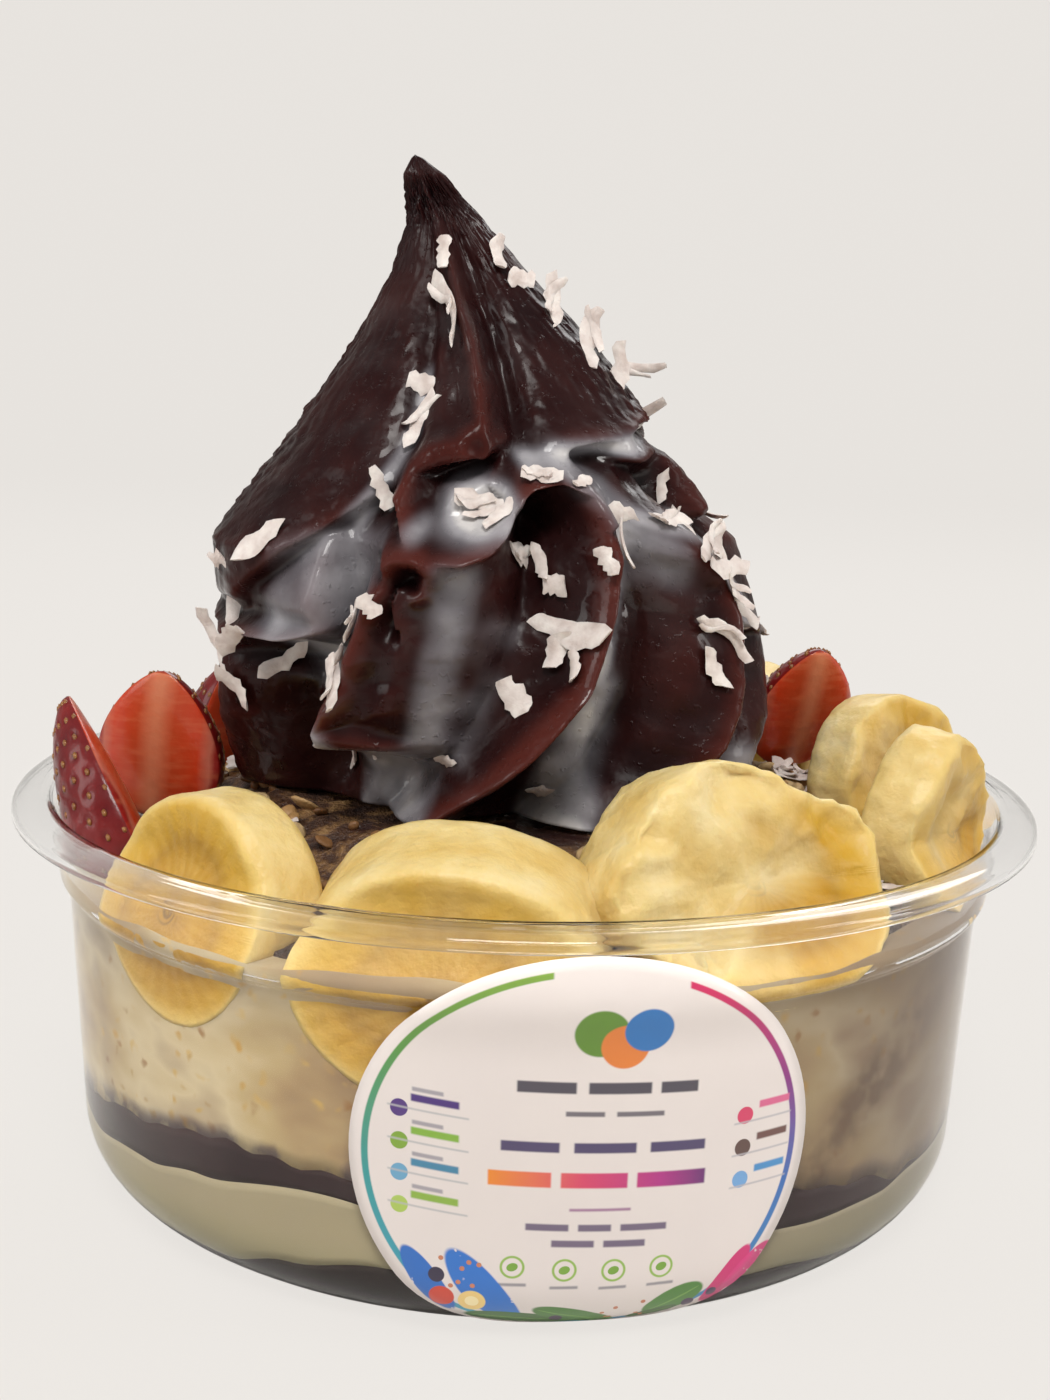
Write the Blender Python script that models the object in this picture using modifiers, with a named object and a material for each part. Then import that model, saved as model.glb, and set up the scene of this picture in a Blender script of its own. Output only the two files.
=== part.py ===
"""Acai bowl: a clear deli bowl filled with layers, ringed with fruit, under a piped acai swirl.

The origin is the centre of the base, +Z is up and -Y is the side with the round label.
Lengths are in millimetres in the constants and functions, and in metres in the meshes.
"""
from math import atan2, cos, exp, hypot, pi, radians, sin, sqrt

import bmesh
import bpy
from mathutils import Matrix, Vector

MM = 0.001
GAP = 0.3                      # clearance between touching pieces
SIDES = 48                     # segments round everything that fills the bowl

# Bowl: a thermoformed sheet, given by the line through the middle of its thickness.
SHEET = 0.8
RIM_RADIUS = 75.0
BOWL_HEIGHT = 57.0
FOOT_RADIUS = 55.1
CORNER_RADIUS = 10.0
RECESS_RADIUS = 46.0
RECESS_DEPTH = 1.0
WALL_FOOT = 65.1               # wall radius at the top of the corner
LEDGE_RADIUS = 66.9            # wall radius under the stacking ledge
LEDGE_HEIGHT = 44.2
NECK_RADIUS = 68.5

# Label: a round sticker on the front of the wall.
LABEL_WIDE = 59.0
LABEL_LONG = 54.0              # along the wall and round its corner
LABEL_THICKNESS = 0.25
LABEL_BEARING = -82.5
LABEL_TOP = 52.2

# Layers: the height of each surface at the wall, as (bearing, height) stations.
BASE_TOP = ((-150, 3.6), (-118, 6.8), (-100, 9.6), (-70, 7.5), (-30, 4.0), (40, 5.5), (120, 4.2))
BAND_FOOT = ((-153, 11.8), (-128, 15.7), (-113, 18.0), (-85, 15.0), (-57, 12.0), (-42, 12.2),
             (0, 14.5), (45, 12.0), (95, 15.5), (150, 13.0))
BAND_DEPTH = ((-153, 4.6), (-128, 6.0), (-113, 3.4), (-85, 4.2), (-57, 5.4), (-42, 1.6),
              (0, 1.4), (45, 4.0), (95, 5.0), (150, 3.6))
CREAM_TOP = 45.4
HEAP_RIM = 47.4                # granola at the wall
HEAP_TOP = 57.0                # granola under the swirl
HEAP_FLAT = 41.0               # radius of the level part under the swirl

# Swirl: its taper as (height, middle x, radius) stations, and its folds.
SWIRL_FOOT = HEAP_TOP + GAP
TAPER = ((SWIRL_FOOT, -5.0, 38.0), (69, -5.0, 40.6), (77, -5.6, 40.4), (85, -6.2, 39.4),
         (95, -8.0, 37.0), (105, -7.6, 30.0), (111, -8.0, 25.0), (122, -8.8, 16.5),
         (131, -11.2, 9.3), (139, -14.0, 4.6), (143.5, -15.4, 2.6), (146, -16.2, 1.0))
UPPER_FOLDS = (-104, -56, 3, 50, 98, 150, 204)          # bearings, 0 in front, + to the right
LOWER_FOLDS = (-104, -62, -18, 31, 68, 106, 144, 182, 220)
FOLD_DEPTH = 0.17              # of the radius
HEM_HEIGHT = 106.0             # where the upper coil ends, in front
HEM_SET_BACK = 4.5

BANANAS = (                    # name, bearing, face radius, height, width, tall, thick, lean, turn
    ("banana_front_left", -132.0, 63.2, 49.8, 31.0, 30.0, 10.0, 2, 0),
    ("banana_front", -98.0, 61.8, 47.6, 39.0, 31.0, 15.0, -14, 0),
    ("banana_front_right", -61.0, 60.6, 54.6, 41.0, 30.0, 15.0, 18, 0),
    ("banana_right", -20.0, 63.4, 56.4, 26.0, 28.0, 9.0, -6, -16),
    ("banana_right_back", 4.0, 59.5, 57.6, 30.0, 26.0, 9.0, 10, -50),
    ("banana_back_right", 46.0, 61.5, 54.0, 31.0, 28.0, 11.0, 10, 0),
    ("banana_back_left", 128.0, 61.5, 53.0, 33.0, 28.0, 11.0, 10, 0),
)
BERRIES = (                    # name, bearing, radius, height, long, wide, lean, roll, turn
    ("strawberry_left", -164.0, 59.4, 55.4, 35.0, 20.0, -22, -30, 180),
    ("strawberry_left_back", -176.0, 54.5, 61.0, 23.0, 20.0, 4, 6, 70),
    ("strawberry_right_back", 19.0, 46.0, 65.5, 22.0, 17.0, 0, -24, -90),
    ("strawberry_back", 152.0, 55.0, 56.0, 26.0, 21.0, 8, 12, 180),
)


def collection(name):
    group = bpy.data.collections.new(name)
    bpy.context.scene.collection.children.link(group)
    return group


def material(name, colour, roughness, alpha=1.0):
    look = bpy.data.materials.new(name)
    look.use_nodes = True
    shader = look.node_tree.nodes["Principled BSDF"]
    shader.inputs["Base Color"].default_value = (*colour, 1.0)
    shader.inputs["Roughness"].default_value = roughness
    shader.inputs["Metallic"].default_value = 0.0
    shader.inputs["Alpha"].default_value = alpha
    return look


def make_object(name, shape, look, group, smooth=True):
    bmesh.ops.recalc_face_normals(shape, faces=shape.faces)
    mesh = bpy.data.meshes.new(name)
    shape.to_mesh(mesh)
    shape.free()
    if smooth:
        mesh.shade_smooth()
        mesh.set_sharp_from_angle(angle=radians(40))
    item = bpy.data.objects.new(name, mesh)
    if look:
        mesh.materials.append(look)
    group.objects.link(item)
    return item


def turned_rings(shape, rings):
    """Skin a stack of closed rings, with a single point as the first and last ring."""
    rows = [[shape.verts.new(Vector(p) * MM) for p in ring] for ring in rings]
    for low, high in zip(rows, rows[1:]):
        count = max(len(low), len(high))
        for i in range(count):
            j = (i + 1) % count
            if len(low) == 1:
                shape.faces.new((low[0], high[j], high[i]))
            elif len(high) == 1:
                shape.faces.new((low[i], low[j], high[0]))
            else:
                shape.faces.new((low[i], low[j], high[j], high[i]))


def between(stations, at):
    """Straight reading between stations of (position, value...)."""
    if at <= stations[0][0]:
        return stations[0][1:]
    for a, b in zip(stations, stations[1:]):
        if at <= b[0]:
            t = (at - a[0]) / (b[0] - a[0])
            return tuple(u + (v - u) * t for u, v in zip(a[1:], b[1:]))
    return stations[-1][1:]


def round_the_bowl(stations, bearing):
    """Soft periodic reading of (bearing, value) stations."""
    first = stations[0][0]
    at = (bearing - first) % 360 + first
    ring = list(stations) + [(first + 360, stations[0][1])]
    for (a, u), (b, v) in zip(ring, ring[1:]):
        if a <= at <= b:
            t = (1 - cos(pi * (at - a) / (b - a))) / 2
            return u + (v - u) * t
    return stations[0][1]


# ---- bowl ----

def sheet_line():
    """Middle of the sheet from the axis out and up to the lip."""
    half = SHEET / 2
    line = [(0, half + RECESS_DEPTH), (RECESS_RADIUS, half + RECESS_DEPTH),
            (RECESS_RADIUS + 2.5, half), (FOOT_RADIUS, half)]
    for step in (1, 2, 3):
        turn = radians(30 * step)
        line.append((FOOT_RADIUS + CORNER_RADIUS * sin(turn),
                     half + CORNER_RADIUS * (1 - cos(turn))))
    line += [(LEDGE_RADIUS, LEDGE_HEIGHT), (LEDGE_RADIUS + 1.3, LEDGE_HEIGHT + 1.2),
             (NECK_RADIUS, BOWL_HEIGHT - 4.2), (NECK_RADIUS + 1.3, BOWL_HEIGHT - 1.0),
             (NECK_RADIUS + 3.2, BOWL_HEIGHT - half), (RIM_RADIUS - 1.4, BOWL_HEIGHT - 1.0),
             (RIM_RADIUS - half, BOWL_HEIGHT - 2.4)]
    return line


def offset_line(line, distance):
    """The line moved sideways: + is to the right of its direction, the outer side."""
    moved = []
    for i, (r, z) in enumerate(line):
        before = line[max(i - 1, 0)]
        after = line[min(i + 1, len(line) - 1)]
        a = Vector((r - before[0], z - before[1]))
        b = Vector((after[0] - r, after[1] - z))
        a = a.normalized() if a.length else b.normalized()
        b = b.normalized() if b.length else a
        mid = (a + b).normalized()
        reach = distance / max(mid.dot(a), 0.5)
        moved.append((max(r + mid.y * reach, 0.0), z - mid.x * reach))
    moved[0] = (0.0, moved[0][1])
    return moved


def wall_radius(height, clearance=GAP):
    """Inside radius of the wall up to the stacking ledge, less the clearance."""
    inner = [(z, r) for r, z in offset_line(sheet_line(), -SHEET / 2)[3:8]]
    return between(inner, height)[0] - clearance


def make_bowl(group):
    line = sheet_line()
    outer = offset_line(line, SHEET / 2)
    inner = offset_line(line, -SHEET / 2)
    loop = outer[::-1] + inner
    mesh = bpy.data.meshes.new("bowl")
    points = [(r * MM, 0, z * MM) for r, z in loop]
    last = len(points) - 1
    edges = [(i, i + 1) for i in range(last) if i != len(line) - 1] + [(last, 0)]
    mesh.from_pydata(points, edges, [])
    bowl = bpy.data.objects.new("bowl", mesh)
    mesh.materials.append(material("clear plastic", (0.92, 0.93, 0.93), 0.06, 0.3))
    group.objects.link(bowl)
    turn = bowl.modifiers.new("turn", 'SCREW')
    turn.axis = 'Z'
    turn.angle = 2 * pi
    turn.steps = turn.render_steps = SIDES
    turn.use_merge_vertices = True
    turn.merge_threshold = 0.00001
    turn.use_smooth_shade = True
    return bowl


def label_line(down):
    """Radius, height and outward direction of the wall, a length down from the label's top."""
    out = GAP + SHEET / 2 + 0.1
    route = [(NECK_RADIUS + out, LABEL_TOP), (NECK_RADIUS + out, LEDGE_HEIGHT - 1.0),
             (LEDGE_RADIUS + out, LEDGE_HEIGHT - 5.0),
             (WALL_FOOT + out, CORNER_RADIUS + 0.4)]
    for step in range(1, 8):
        turn = radians(90 - 10 * step)
        reach = CORNER_RADIUS + out
        route.append((FOOT_RADIUS + reach * sin(turn), CORNER_RADIUS + 0.4 - reach * cos(turn)))
    for (ra, za), (rb, zb) in zip(route, route[1:]):
        length = hypot(rb - ra, zb - za)
        if down <= length:
            t = down / length
            return (ra + (rb - ra) * t, za + (zb - za) * t, (za - zb) / length, (rb - ra) / length)
        down -= length
    return (rb, zb, (za - zb) / length, (rb - ra) / length)


def make_label(group):
    """A disc laid on the wall, with its own small thickness."""
    rings, around = 7, 28
    sheets = []
    for lift in (0.0, LABEL_THICKNESS):
        rows = []
        for ring in range(rings + 1):
            row = []
            for i in range(around if ring else 1):
                turn = 2 * pi * i / around
                across = LABEL_WIDE / 2 * ring / rings * cos(turn)
                down = LABEL_LONG / 2 * (1 - ring / rings * sin(turn))
                r, z, out_r, out_z = label_line(down)
                bearing = radians(LABEL_BEARING) + across / 67.0
                r, z = r + out_r * lift, z + out_z * lift
                row.append((r * cos(bearing), r * sin(bearing), z))
            rows.append(row)
        sheets.append(rows)
    shape = bmesh.new()
    turned_rings(shape, sheets[0] + sheets[1][::-1])
    return make_object("label", shape, material("label paper", (0.76, 0.69, 0.66), 0.4), group)


# ---- layers ----

def disc_rings(edge, level, fractions):
    """Rings of a disc whose edge has a height for each bearing."""
    rings = []
    for fraction in fractions:
        if fraction == 0:
            heights = [level(360 * i / SIDES, 0) for i in range(SIDES)]
            rings.append([(0, 0, sum(heights) / SIDES)])
            continue
        ring = []
        for i in range(SIDES):
            bearing = 360 * i / SIDES
            reach = edge(bearing) * fraction
            turn = radians(bearing)
            ring.append((reach * cos(turn), reach * sin(turn), level(bearing, fraction)))
        rings.append(ring)
    return rings


def make_layer(name, foot, top, look, group, fractions=(0, 0.5, 1)):
    """Fill the bowl between two surfaces, each a height for a bearing and a share of the radius."""
    under = disc_rings(lambda b: wall_radius(foot(b, 1)), foot, (0, 0.6, 1))
    over = disc_rings(lambda b: wall_radius(top(b, 1)), top, fractions)
    side = []
    for share in (0.33, 0.67):
        ring = []
        for i in range(SIDES):
            bearing = 360 * i / SIDES
            z = foot(bearing, 1) + (top(bearing, 1) - foot(bearing, 1)) * share
            r, turn = wall_radius(z), radians(bearing)
            ring.append((r * cos(turn), r * sin(turn), z))
        side.append(ring)
    shape = bmesh.new()
    turned_rings(shape, under + side + over[::-1])
    return make_object(name, shape, look, group)


def base_foot(bearing, share):
    return SHEET + RECESS_DEPTH + GAP


def base_top(bearing, share):
    return round_the_bowl(BASE_TOP, bearing) * share + 6.0 * (1 - share)


def band_foot(bearing, share):
    return round_the_bowl(BAND_FOOT, bearing) * share + 14.0 * (1 - share)


def band_top(bearing, share):
    return band_foot(bearing, share) + round_the_bowl(BAND_DEPTH, bearing) * share \
        + 3.5 * (1 - share)


def cream_top(bearing, share):
    return CREAM_TOP + 0.8 * sin(radians(3 * bearing + 40)) * share


def heap_top(bearing, share):
    """Level under the swirl, then sloping unevenly down to the wall."""
    reach = share * wall_radius(HEAP_RIM)
    fall = min(max((reach - HEAP_FLAT) / (wall_radius(HEAP_RIM) - HEAP_FLAT), 0), 1)
    lumps = 1.1 * sin(radians(7 * bearing)) * sin(pi * fall) \
        + 0.7 * sin(radians(4 * bearing + 60)) * fall
    return HEAP_TOP + (HEAP_RIM - HEAP_TOP) * fall ** 0.65 + lumps


def above(surface):
    return lambda bearing, share: surface(bearing, share) + GAP


# ---- swirl ----

def fold_lean(height):
    """How far the folds of the lower coil have turned at a height, in degrees."""
    return -30 * (max(100 - height, 0) / 35) ** 1.5


def hem_height(bearing):
    """Height of the upper coil's lower edge, which winds down to the left."""
    return HEM_HEIGHT + (0.10 if bearing > 0 else 0.25) * bearing


def ridge(bearing, fold, half_width):
    """1 on the fold's crest, falling to 0 at its sides."""
    away = abs((bearing - fold + 180) % 360 - 180) / half_width
    return max(1 - away ** 1.6, 0)


def swirl_point(bearing, height):
    """A point of the swirl's surface."""
    middle, radius = between(TAPER, height)
    hem = hem_height(bearing)
    upper = max(ridge(bearing, fold, 27) for fold in UPPER_FOLDS)
    lean = fold_lean(height)
    lower = max(ridge(bearing, fold + lean, 22) for fold in LOWER_FOLDS)
    below = min(max((hem - height) / 6.0, 0), 1)
    crest = upper + (lower - upper) * below
    radius *= 1 - FOLD_DEPTH * (1 - crest)
    if height < hem:
        radius -= HEM_SET_BACK * exp(-(hem - height) / 6.0) * min((146 - height) / 30, 1)
    turn = radians(bearing)
    return (middle + radius * sin(turn), -radius * cos(turn), height)


def make_swirl(group):
    around, levels = 54, 27
    top = TAPER[-1][0]
    rings = [[(TAPER[0][1], 0, SWIRL_FOOT)]]
    for level in range(levels + 1):
        height = SWIRL_FOOT + (top - SWIRL_FOOT) * (level / levels)
        rings.append([swirl_point(-180 + 360 * i / around, height) for i in range(around)])
    rings.append([(TAPER[-1][1] - 0.4, 0, top + 1.2)])
    shape = bmesh.new()
    turned_rings(shape, rings)
    return make_object("swirl", shape, material("acai", (0.035, 0.008, 0.009), 0.15), group)


# ---- fruit ----

def banana_shape(width, tall, thick, grow=0.0):
    """A thick slice: rounded three-sided outline with eased edges, its face toward -Y."""
    sides, ease = 22, 1.3
    half = thick / 2 + grow
    rings = []
    for depth, inset in ((-half, None), (-half, ease), (-half + ease, 0.0),
                         (half - ease, 0.0), (half, ease), (half, None)):
        if inset is None:
            rings.append([(0, depth, 0)])
            continue
        ring = []
        for i in range(sides):
            turn = 2 * pi * i / sides
            swell = 1 + 0.025 * cos(3 * turn - pi / 2)
            ring.append(((width / 2 + grow - inset) * swell * cos(turn), depth,
                         (tall / 2 + grow - inset) * swell * sin(turn)))
        rings.append(ring)
    shape = bmesh.new()
    turned_rings(shape, rings)
    return shape


def berry_shape(long, wide, grow=0.0):
    """Half a strawberry: a blunt cone, flat on its cut side toward -Y, point up."""
    sides, levels = 14, 7
    rings = [[(0, 0, -long / 2 - grow)]]
    for level in range(1, levels):
        t = level / levels
        height = -long / 2 - grow + (long + 2 * grow) * t
        reach = (wide / 2) * sin(pi * t ** 0.75) ** 0.62 + grow
        ring = []
        for i in range(sides):
            turn = 2 * pi * i / sides
            y = reach * sin(turn)
            ring.append((reach * cos(turn), y * (0.35 if y < 0 else 0.8), height))
        rings.append(ring)
    rings.append([(0, 0, long / 2 + grow)])
    shape = bmesh.new()
    turned_rings(shape, rings)
    return shape


def stand_fruit(item, bearing, radius, height, lean, roll, turn):
    """Face the piece outward at a bearing, lean its top inward, roll it and turn it."""
    spin = Matrix.Rotation(radians(bearing + 90), 4, 'Z')
    tip = Matrix.Rotation(radians(-lean), 4, 'X') @ Matrix.Rotation(radians(roll), 4, 'Y')
    place = Vector((radius * cos(radians(bearing)), radius * sin(radians(bearing)), height)) * MM
    item.matrix_world = Matrix.Translation(place) @ spin \
        @ tip @ Matrix.Rotation(radians(turn), 4, 'Z')


def subtract(item, cutter):
    cut = item.modifiers.new("clear of " + cutter.name, 'BOOLEAN')
    cut.operation = 'DIFFERENCE'
    cut.solver = 'EXACT'
    cut.object = cutter


def make_fruit(parts, cutters):
    """Place every fruit; each is cut clear of those placed before it."""
    banana = material("banana", (0.78, 0.56, 0.24), 0.35)
    berry = material("strawberry", (0.45, 0.03, 0.02), 0.25)
    placed = []
    pieces = [("banana", row) for row in BANANAS] + [("berry", row) for row in BERRIES]
    for kind, row in pieces:
        if kind == "banana":
            name, bearing, radius, height, width, tall, thick, lean, turn = row
            shapes = banana_shape(width, tall, thick), banana_shape(width, tall, thick, GAP)
            radius, roll, look = radius - thick / 2, 0, banana
        else:
            name, bearing, radius, height, long, wide, lean, roll, turn = row
            shapes = berry_shape(long, wide), berry_shape(long, wide, GAP)
            look = berry
        item = make_object(name, shapes[0], look, parts)
        grown = make_object("room_" + name, shapes[1], None, cutters)
        grown.hide_render = True
        grown.display_type = 'WIRE'
        for thing in (item, grown):
            stand_fruit(thing, bearing, radius, height, lean, roll, turn)
        reach = max(item.dimensions) * 0.5
        for other, room in placed:
            near = (item.location - other.location).length
            if near < reach + max(other.dimensions) * 0.5:
                subtract(item, room)
        placed.append((item, grown))
    return placed


for leftover in list(bpy.data.objects):
    bpy.data.objects.remove(leftover, do_unlink=True)

parts = collection("acai bowl")
cutters = collection("cutters")

acai = material("acai puree", (0.045, 0.012, 0.014), 0.2)
cream = material("cream", (0.42, 0.33, 0.22), 0.5)
pale = material("pale cream", (0.37, 0.33, 0.22), 0.5)

make_bowl(parts)
make_label(parts)
make_layer("acai_base", base_foot, base_top, acai, parts)
make_layer("cream_lower", above(base_top), band_foot, pale, parts)
make_layer("acai_band", above(band_foot), band_top, acai, parts)
cream_upper = make_layer("cream_upper", above(band_top), cream_top, cream, parts)
granola = make_layer("granola", above(cream_top), heap_top,
                     material("granola", (0.32, 0.17, 0.07), 0.6), parts,
                     (0, 0.6, 0.72, 0.86, 1))
make_swirl(parts)
for fruit, room in make_fruit(parts, cutters):
    for body in (cream_upper, granola):
        subtract(body, room)
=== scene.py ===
import random
from math import atan2, cos, exp, hypot, pi, radians, sin

import bmesh
import bpy
import numpy as np
from mathutils import Matrix, Vector
from mathutils.noise import noise as lump


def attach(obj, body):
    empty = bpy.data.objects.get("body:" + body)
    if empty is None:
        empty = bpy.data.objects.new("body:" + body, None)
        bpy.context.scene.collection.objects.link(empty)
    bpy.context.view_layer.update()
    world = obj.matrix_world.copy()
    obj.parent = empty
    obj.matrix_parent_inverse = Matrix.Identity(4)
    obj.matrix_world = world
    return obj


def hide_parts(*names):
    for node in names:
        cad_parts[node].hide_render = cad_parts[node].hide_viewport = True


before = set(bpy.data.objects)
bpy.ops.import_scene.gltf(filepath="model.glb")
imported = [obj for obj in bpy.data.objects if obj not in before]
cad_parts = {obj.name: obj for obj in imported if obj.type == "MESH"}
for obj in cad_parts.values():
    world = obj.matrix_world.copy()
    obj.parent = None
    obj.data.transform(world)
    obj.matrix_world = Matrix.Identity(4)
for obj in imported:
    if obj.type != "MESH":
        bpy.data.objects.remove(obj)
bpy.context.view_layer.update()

# ---------------------------------------------------------------- studio
# A pale sweep of board, a soft lamp over the front, one at each side and one behind.
# The camera stands at the level of a seated eater, a little above the swirl's middle.

MM = 0.001


def shader_tree(name):
    look = bpy.data.materials.new(name)
    look.use_nodes = True
    return look, look.node_tree, look.node_tree.nodes["Principled BSDF"]


def add_node(tree, kind, settings=None, **inputs):
    """A node with its properties, input values and links, the inputs by name."""
    made = tree.nodes.new("ShaderNode" + kind)
    for key, value in (settings or {}).items():
        setattr(made, key, value)
    for key, value in inputs.items():
        socket = made.inputs[int(key[1:])] if key[0] == "_" else made.inputs[key.replace("_", " ")]
        if isinstance(value, bpy.types.NodeSocket):
            tree.links.new(value, socket)
        else:
            socket.default_value = value
    return made


def number(tree, operation, a, b=None, clamp=False):
    made = add_node(tree, "Math", {"operation": operation, "use_clamp": clamp}, _0=a)
    if b is not None:
        if isinstance(b, bpy.types.NodeSocket):
            tree.links.new(b, made.inputs[1])
        else:
            made.inputs[1].default_value = b
    return made.outputs[0]


def times(tree, a, b, clamp=False):
    return number(tree, "MULTIPLY", a, b, clamp)


def plus(tree, a, b):
    return number(tree, "ADD", a, b)


def set_finish(shader, **values):
    """Plain values of a shader's inputs, with _ for each space in a name."""
    for key, value in values.items():
        shader.inputs[key.replace("_", " ")].default_value = value


def mix_shaders(tree, share, first, second):
    """Lead two shaders, mixed by a share, to the surface."""
    mix = add_node(tree, "MixShader", Fac=share)
    tree.links.new(first.outputs[0], mix.inputs[1])
    tree.links.new(second.outputs[0], mix.inputs[2])
    tree.links.new(mix.outputs[0], tree.nodes["Material Output"].inputs["Surface"])


EYE_PLACE, EYE_DOWN, EYE_ROLL = (-0.0004, -0.2788, 0.1245), 11.35, 1.577
EYE_LENS, EYE_SENSOR, EYE_NEAR = 48.86, 36.0, 0.01
BOARD_SEEN, BOARD_LIT = (0.838, 0.806, 0.768), (0.80, 0.78, 0.755)
BOARD_SEEN_SHARE = 0.92        # how much of the board's own colour the eye sees; the rest is lit
SWEEP_NEAR, SWEEP_FAR, SWEEP_CURVE, SWEEP_TOP = -1.6, 1.2, 0.5, 2.4
SWEEP_HALF_WIDE, SWEEP_STEPS = 2.4, 12
ROOM_LIGHT = 0.36

scene = bpy.context.scene
scene.view_settings.view_transform = 'Standard'

eye = bpy.data.cameras.new("eye")
eye.sensor_width = EYE_SENSOR
eye.lens = EYE_LENS
eye.clip_start = EYE_NEAR
viewer = bpy.data.objects.new("viewer", eye)
scene.collection.objects.link(viewer)
viewer.matrix_world = (Matrix.Translation(EYE_PLACE) @ Matrix.Rotation(radians(90 - EYE_DOWN), 4, 'X')
                       @ Matrix.Rotation(radians(EYE_ROLL), 4, 'Z'))
scene.camera = viewer

sweep_mesh = bpy.data.meshes.new("sweep")
sweep_form = bmesh.new()
rows = [(SWEEP_NEAR, 0.0)]
for step in range(SWEEP_STEPS + 1):
    turn = radians(90 * step / SWEEP_STEPS)
    rows.append((SWEEP_FAR + SWEEP_CURVE * sin(turn), SWEEP_CURVE - SWEEP_CURVE * cos(turn)))
rows.append((SWEEP_FAR + SWEEP_CURVE, SWEEP_TOP))
lines = [[sweep_form.verts.new((x, y, z)) for x in (-SWEEP_HALF_WIDE, SWEEP_HALF_WIDE)]
         for y, z in rows]
for near, far in zip(lines, lines[1:]):
    sweep_form.faces.new((near[0], near[1], far[1], far[0]))
sweep_form.to_mesh(sweep_mesh)
sweep_form.free()
sweep_mesh.shade_smooth()
sweep = bpy.data.objects.new("sweep", sweep_mesh)
scene.collection.objects.link(sweep)
board, tree, shader = shader_tree("pale board")
set_finish(shader, Base_Color=(*BOARD_LIT, 1), Roughness=0.9, Specular_IOR_Level=0.1)
glow = add_node(tree, "Emission", Color=(*BOARD_SEEN, 1), Strength=1.0)
path = add_node(tree, "LightPath")
seen = number(tree, "MAXIMUM", path.outputs["Is Camera Ray"], path.outputs["Is Transmission Ray"])
mix_shaders(tree, times(tree, seen, BOARD_SEEN_SHARE), shader, glow)
sweep_mesh.materials.append(board)

room = bpy.data.worlds.new("room")
scene.world = room
room.use_nodes = True
set_finish(room.node_tree.nodes["Background"], Color=(1.0, 0.985, 0.965, 1), Strength=ROOM_LIGHT)


def soft_lamp(name, place, aim, wide, tall, watts, colour=(1, 1, 1)):
    """A soft rectangular lamp, turned from its place towards its aim."""
    light = bpy.data.lights.new(name, 'AREA')
    light.shape = 'RECTANGLE'
    light.size, light.size_y = wide, tall
    light.energy = watts
    light.color = colour
    lamp = bpy.data.objects.new(name, light)
    scene.collection.objects.link(lamp)
    away = Vector(place) - Vector(aim)
    lamp.matrix_world = Matrix.Translation(place) @ away.to_track_quat('Z', 'Y').to_matrix().to_4x4()


soft_lamp("over front", (0.0, -0.47, 0.75), (0, 0, 0.06), 0.34, 0.24, 4.6, (1.0, 0.98, 0.95))
soft_lamp("left", (-0.75, -0.25, 0.45), (0, 0, 0.07), 0.30, 0.6, 1.9, (1.0, 0.99, 0.97))
soft_lamp("right", (0.75, -0.15, 0.40), (0, 0, 0.07), 0.16, 0.6, 1.9, (1.0, 0.97, 0.94))
soft_lamp("behind", (0.1, 0.7, 0.6), (0, 0, 0.08), 0.8, 0.3, 3.0)

# ---------------------------------------------------------------- bowl
# One thin clear sheet drawn into a bowl: flat base with a shallow recess, round corner,
# slightly flared wall, stacking ledge and a rolled flange with a small turned-down lip.

SHEET = 0.8
FOOT, FOOT_LEVEL = 55.1, 0.4
CORNER, CORNER_STEPS = 10.0, 12
WALL_FOOT = (65.1, 10.4)
LEDGE_TOP = 53
BOWL_SIDES = 144
# middle of the sheet from the axis to the rim: radius, height, how far the corner is rounded
SHEET_LINE = ((0, 1.4, 0), (46, 1.4, 0.8), (48.5, FOOT_LEVEL, 0.8), (FOOT, FOOT_LEVEL, 0),
              (*WALL_FOOT, 0), (66.9, 44.2, 0.5), (68.2, 45.4, 0.6), (68.5, 53.4, 1.2),
              (70.0, 56.6, 1.0), (73.2, 56.3, 1.0), (74.6, 55.4, 0.5), (74.6, 54.4, 0))


def place_on(tree):
    return add_node(tree, "TexCoord").outputs["Object"]


def noise(tree, scale, detail=3.0, where=None, roughness=0.5):
    made = add_node(tree, "TexNoise", Scale=scale, Detail=detail, Roughness=roughness)
    tree.links.new(where or place_on(tree), made.inputs["Vector"])
    return made.outputs["Fac"]


def raise_surface(tree, shader, height, distance, strength=1.0, normal=None):
    bump = add_node(tree, "Bump", Height=height, Distance=distance, Strength=strength)
    if normal is not None:
        tree.links.new(normal, bump.inputs["Normal"])
    tree.links.new(bump.outputs["Normal"], shader.inputs["Normal"])
    return bump.outputs["Normal"]


def eased_line(stations):
    """The sheet's line with each corner rounded by its own reach, and the big base corner."""
    line = []
    for i, (r, z, reach) in enumerate(stations):
        if (r, z) == WALL_FOOT:
            for step in range(1, CORNER_STEPS):
                turn = radians(90 * step / CORNER_STEPS)
                line.append((FOOT + CORNER * sin(turn), FOOT_LEVEL + CORNER * (1 - cos(turn))))
        if not reach:
            line.append((r, z))
            continue
        here = Vector((r, z))
        into = (Vector(stations[i - 1][:2]) - here).normalized() * reach
        out = (Vector(stations[i + 1][:2]) - here).normalized() * reach
        for step in range(5):
            t = step / 4
            line.append(tuple(here + into * (1 - t) ** 2 + out * t ** 2))
    return line


def moved_line(line, distance):
    """The line moved sideways, + to its outer side and never past the axis."""
    moved = []
    for i, (r, z) in enumerate(line):
        a = Vector(line[i]) - Vector(line[i - 1]) if i else Vector((1, 0))
        b = Vector(line[i + 1]) - Vector(line[i]) if i + 1 < len(line) else a
        mid = (a.normalized() + b.normalized()).normalized()
        moved.append((max(r + mid.y * distance, 0), z - mid.x * distance))
    return moved


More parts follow.
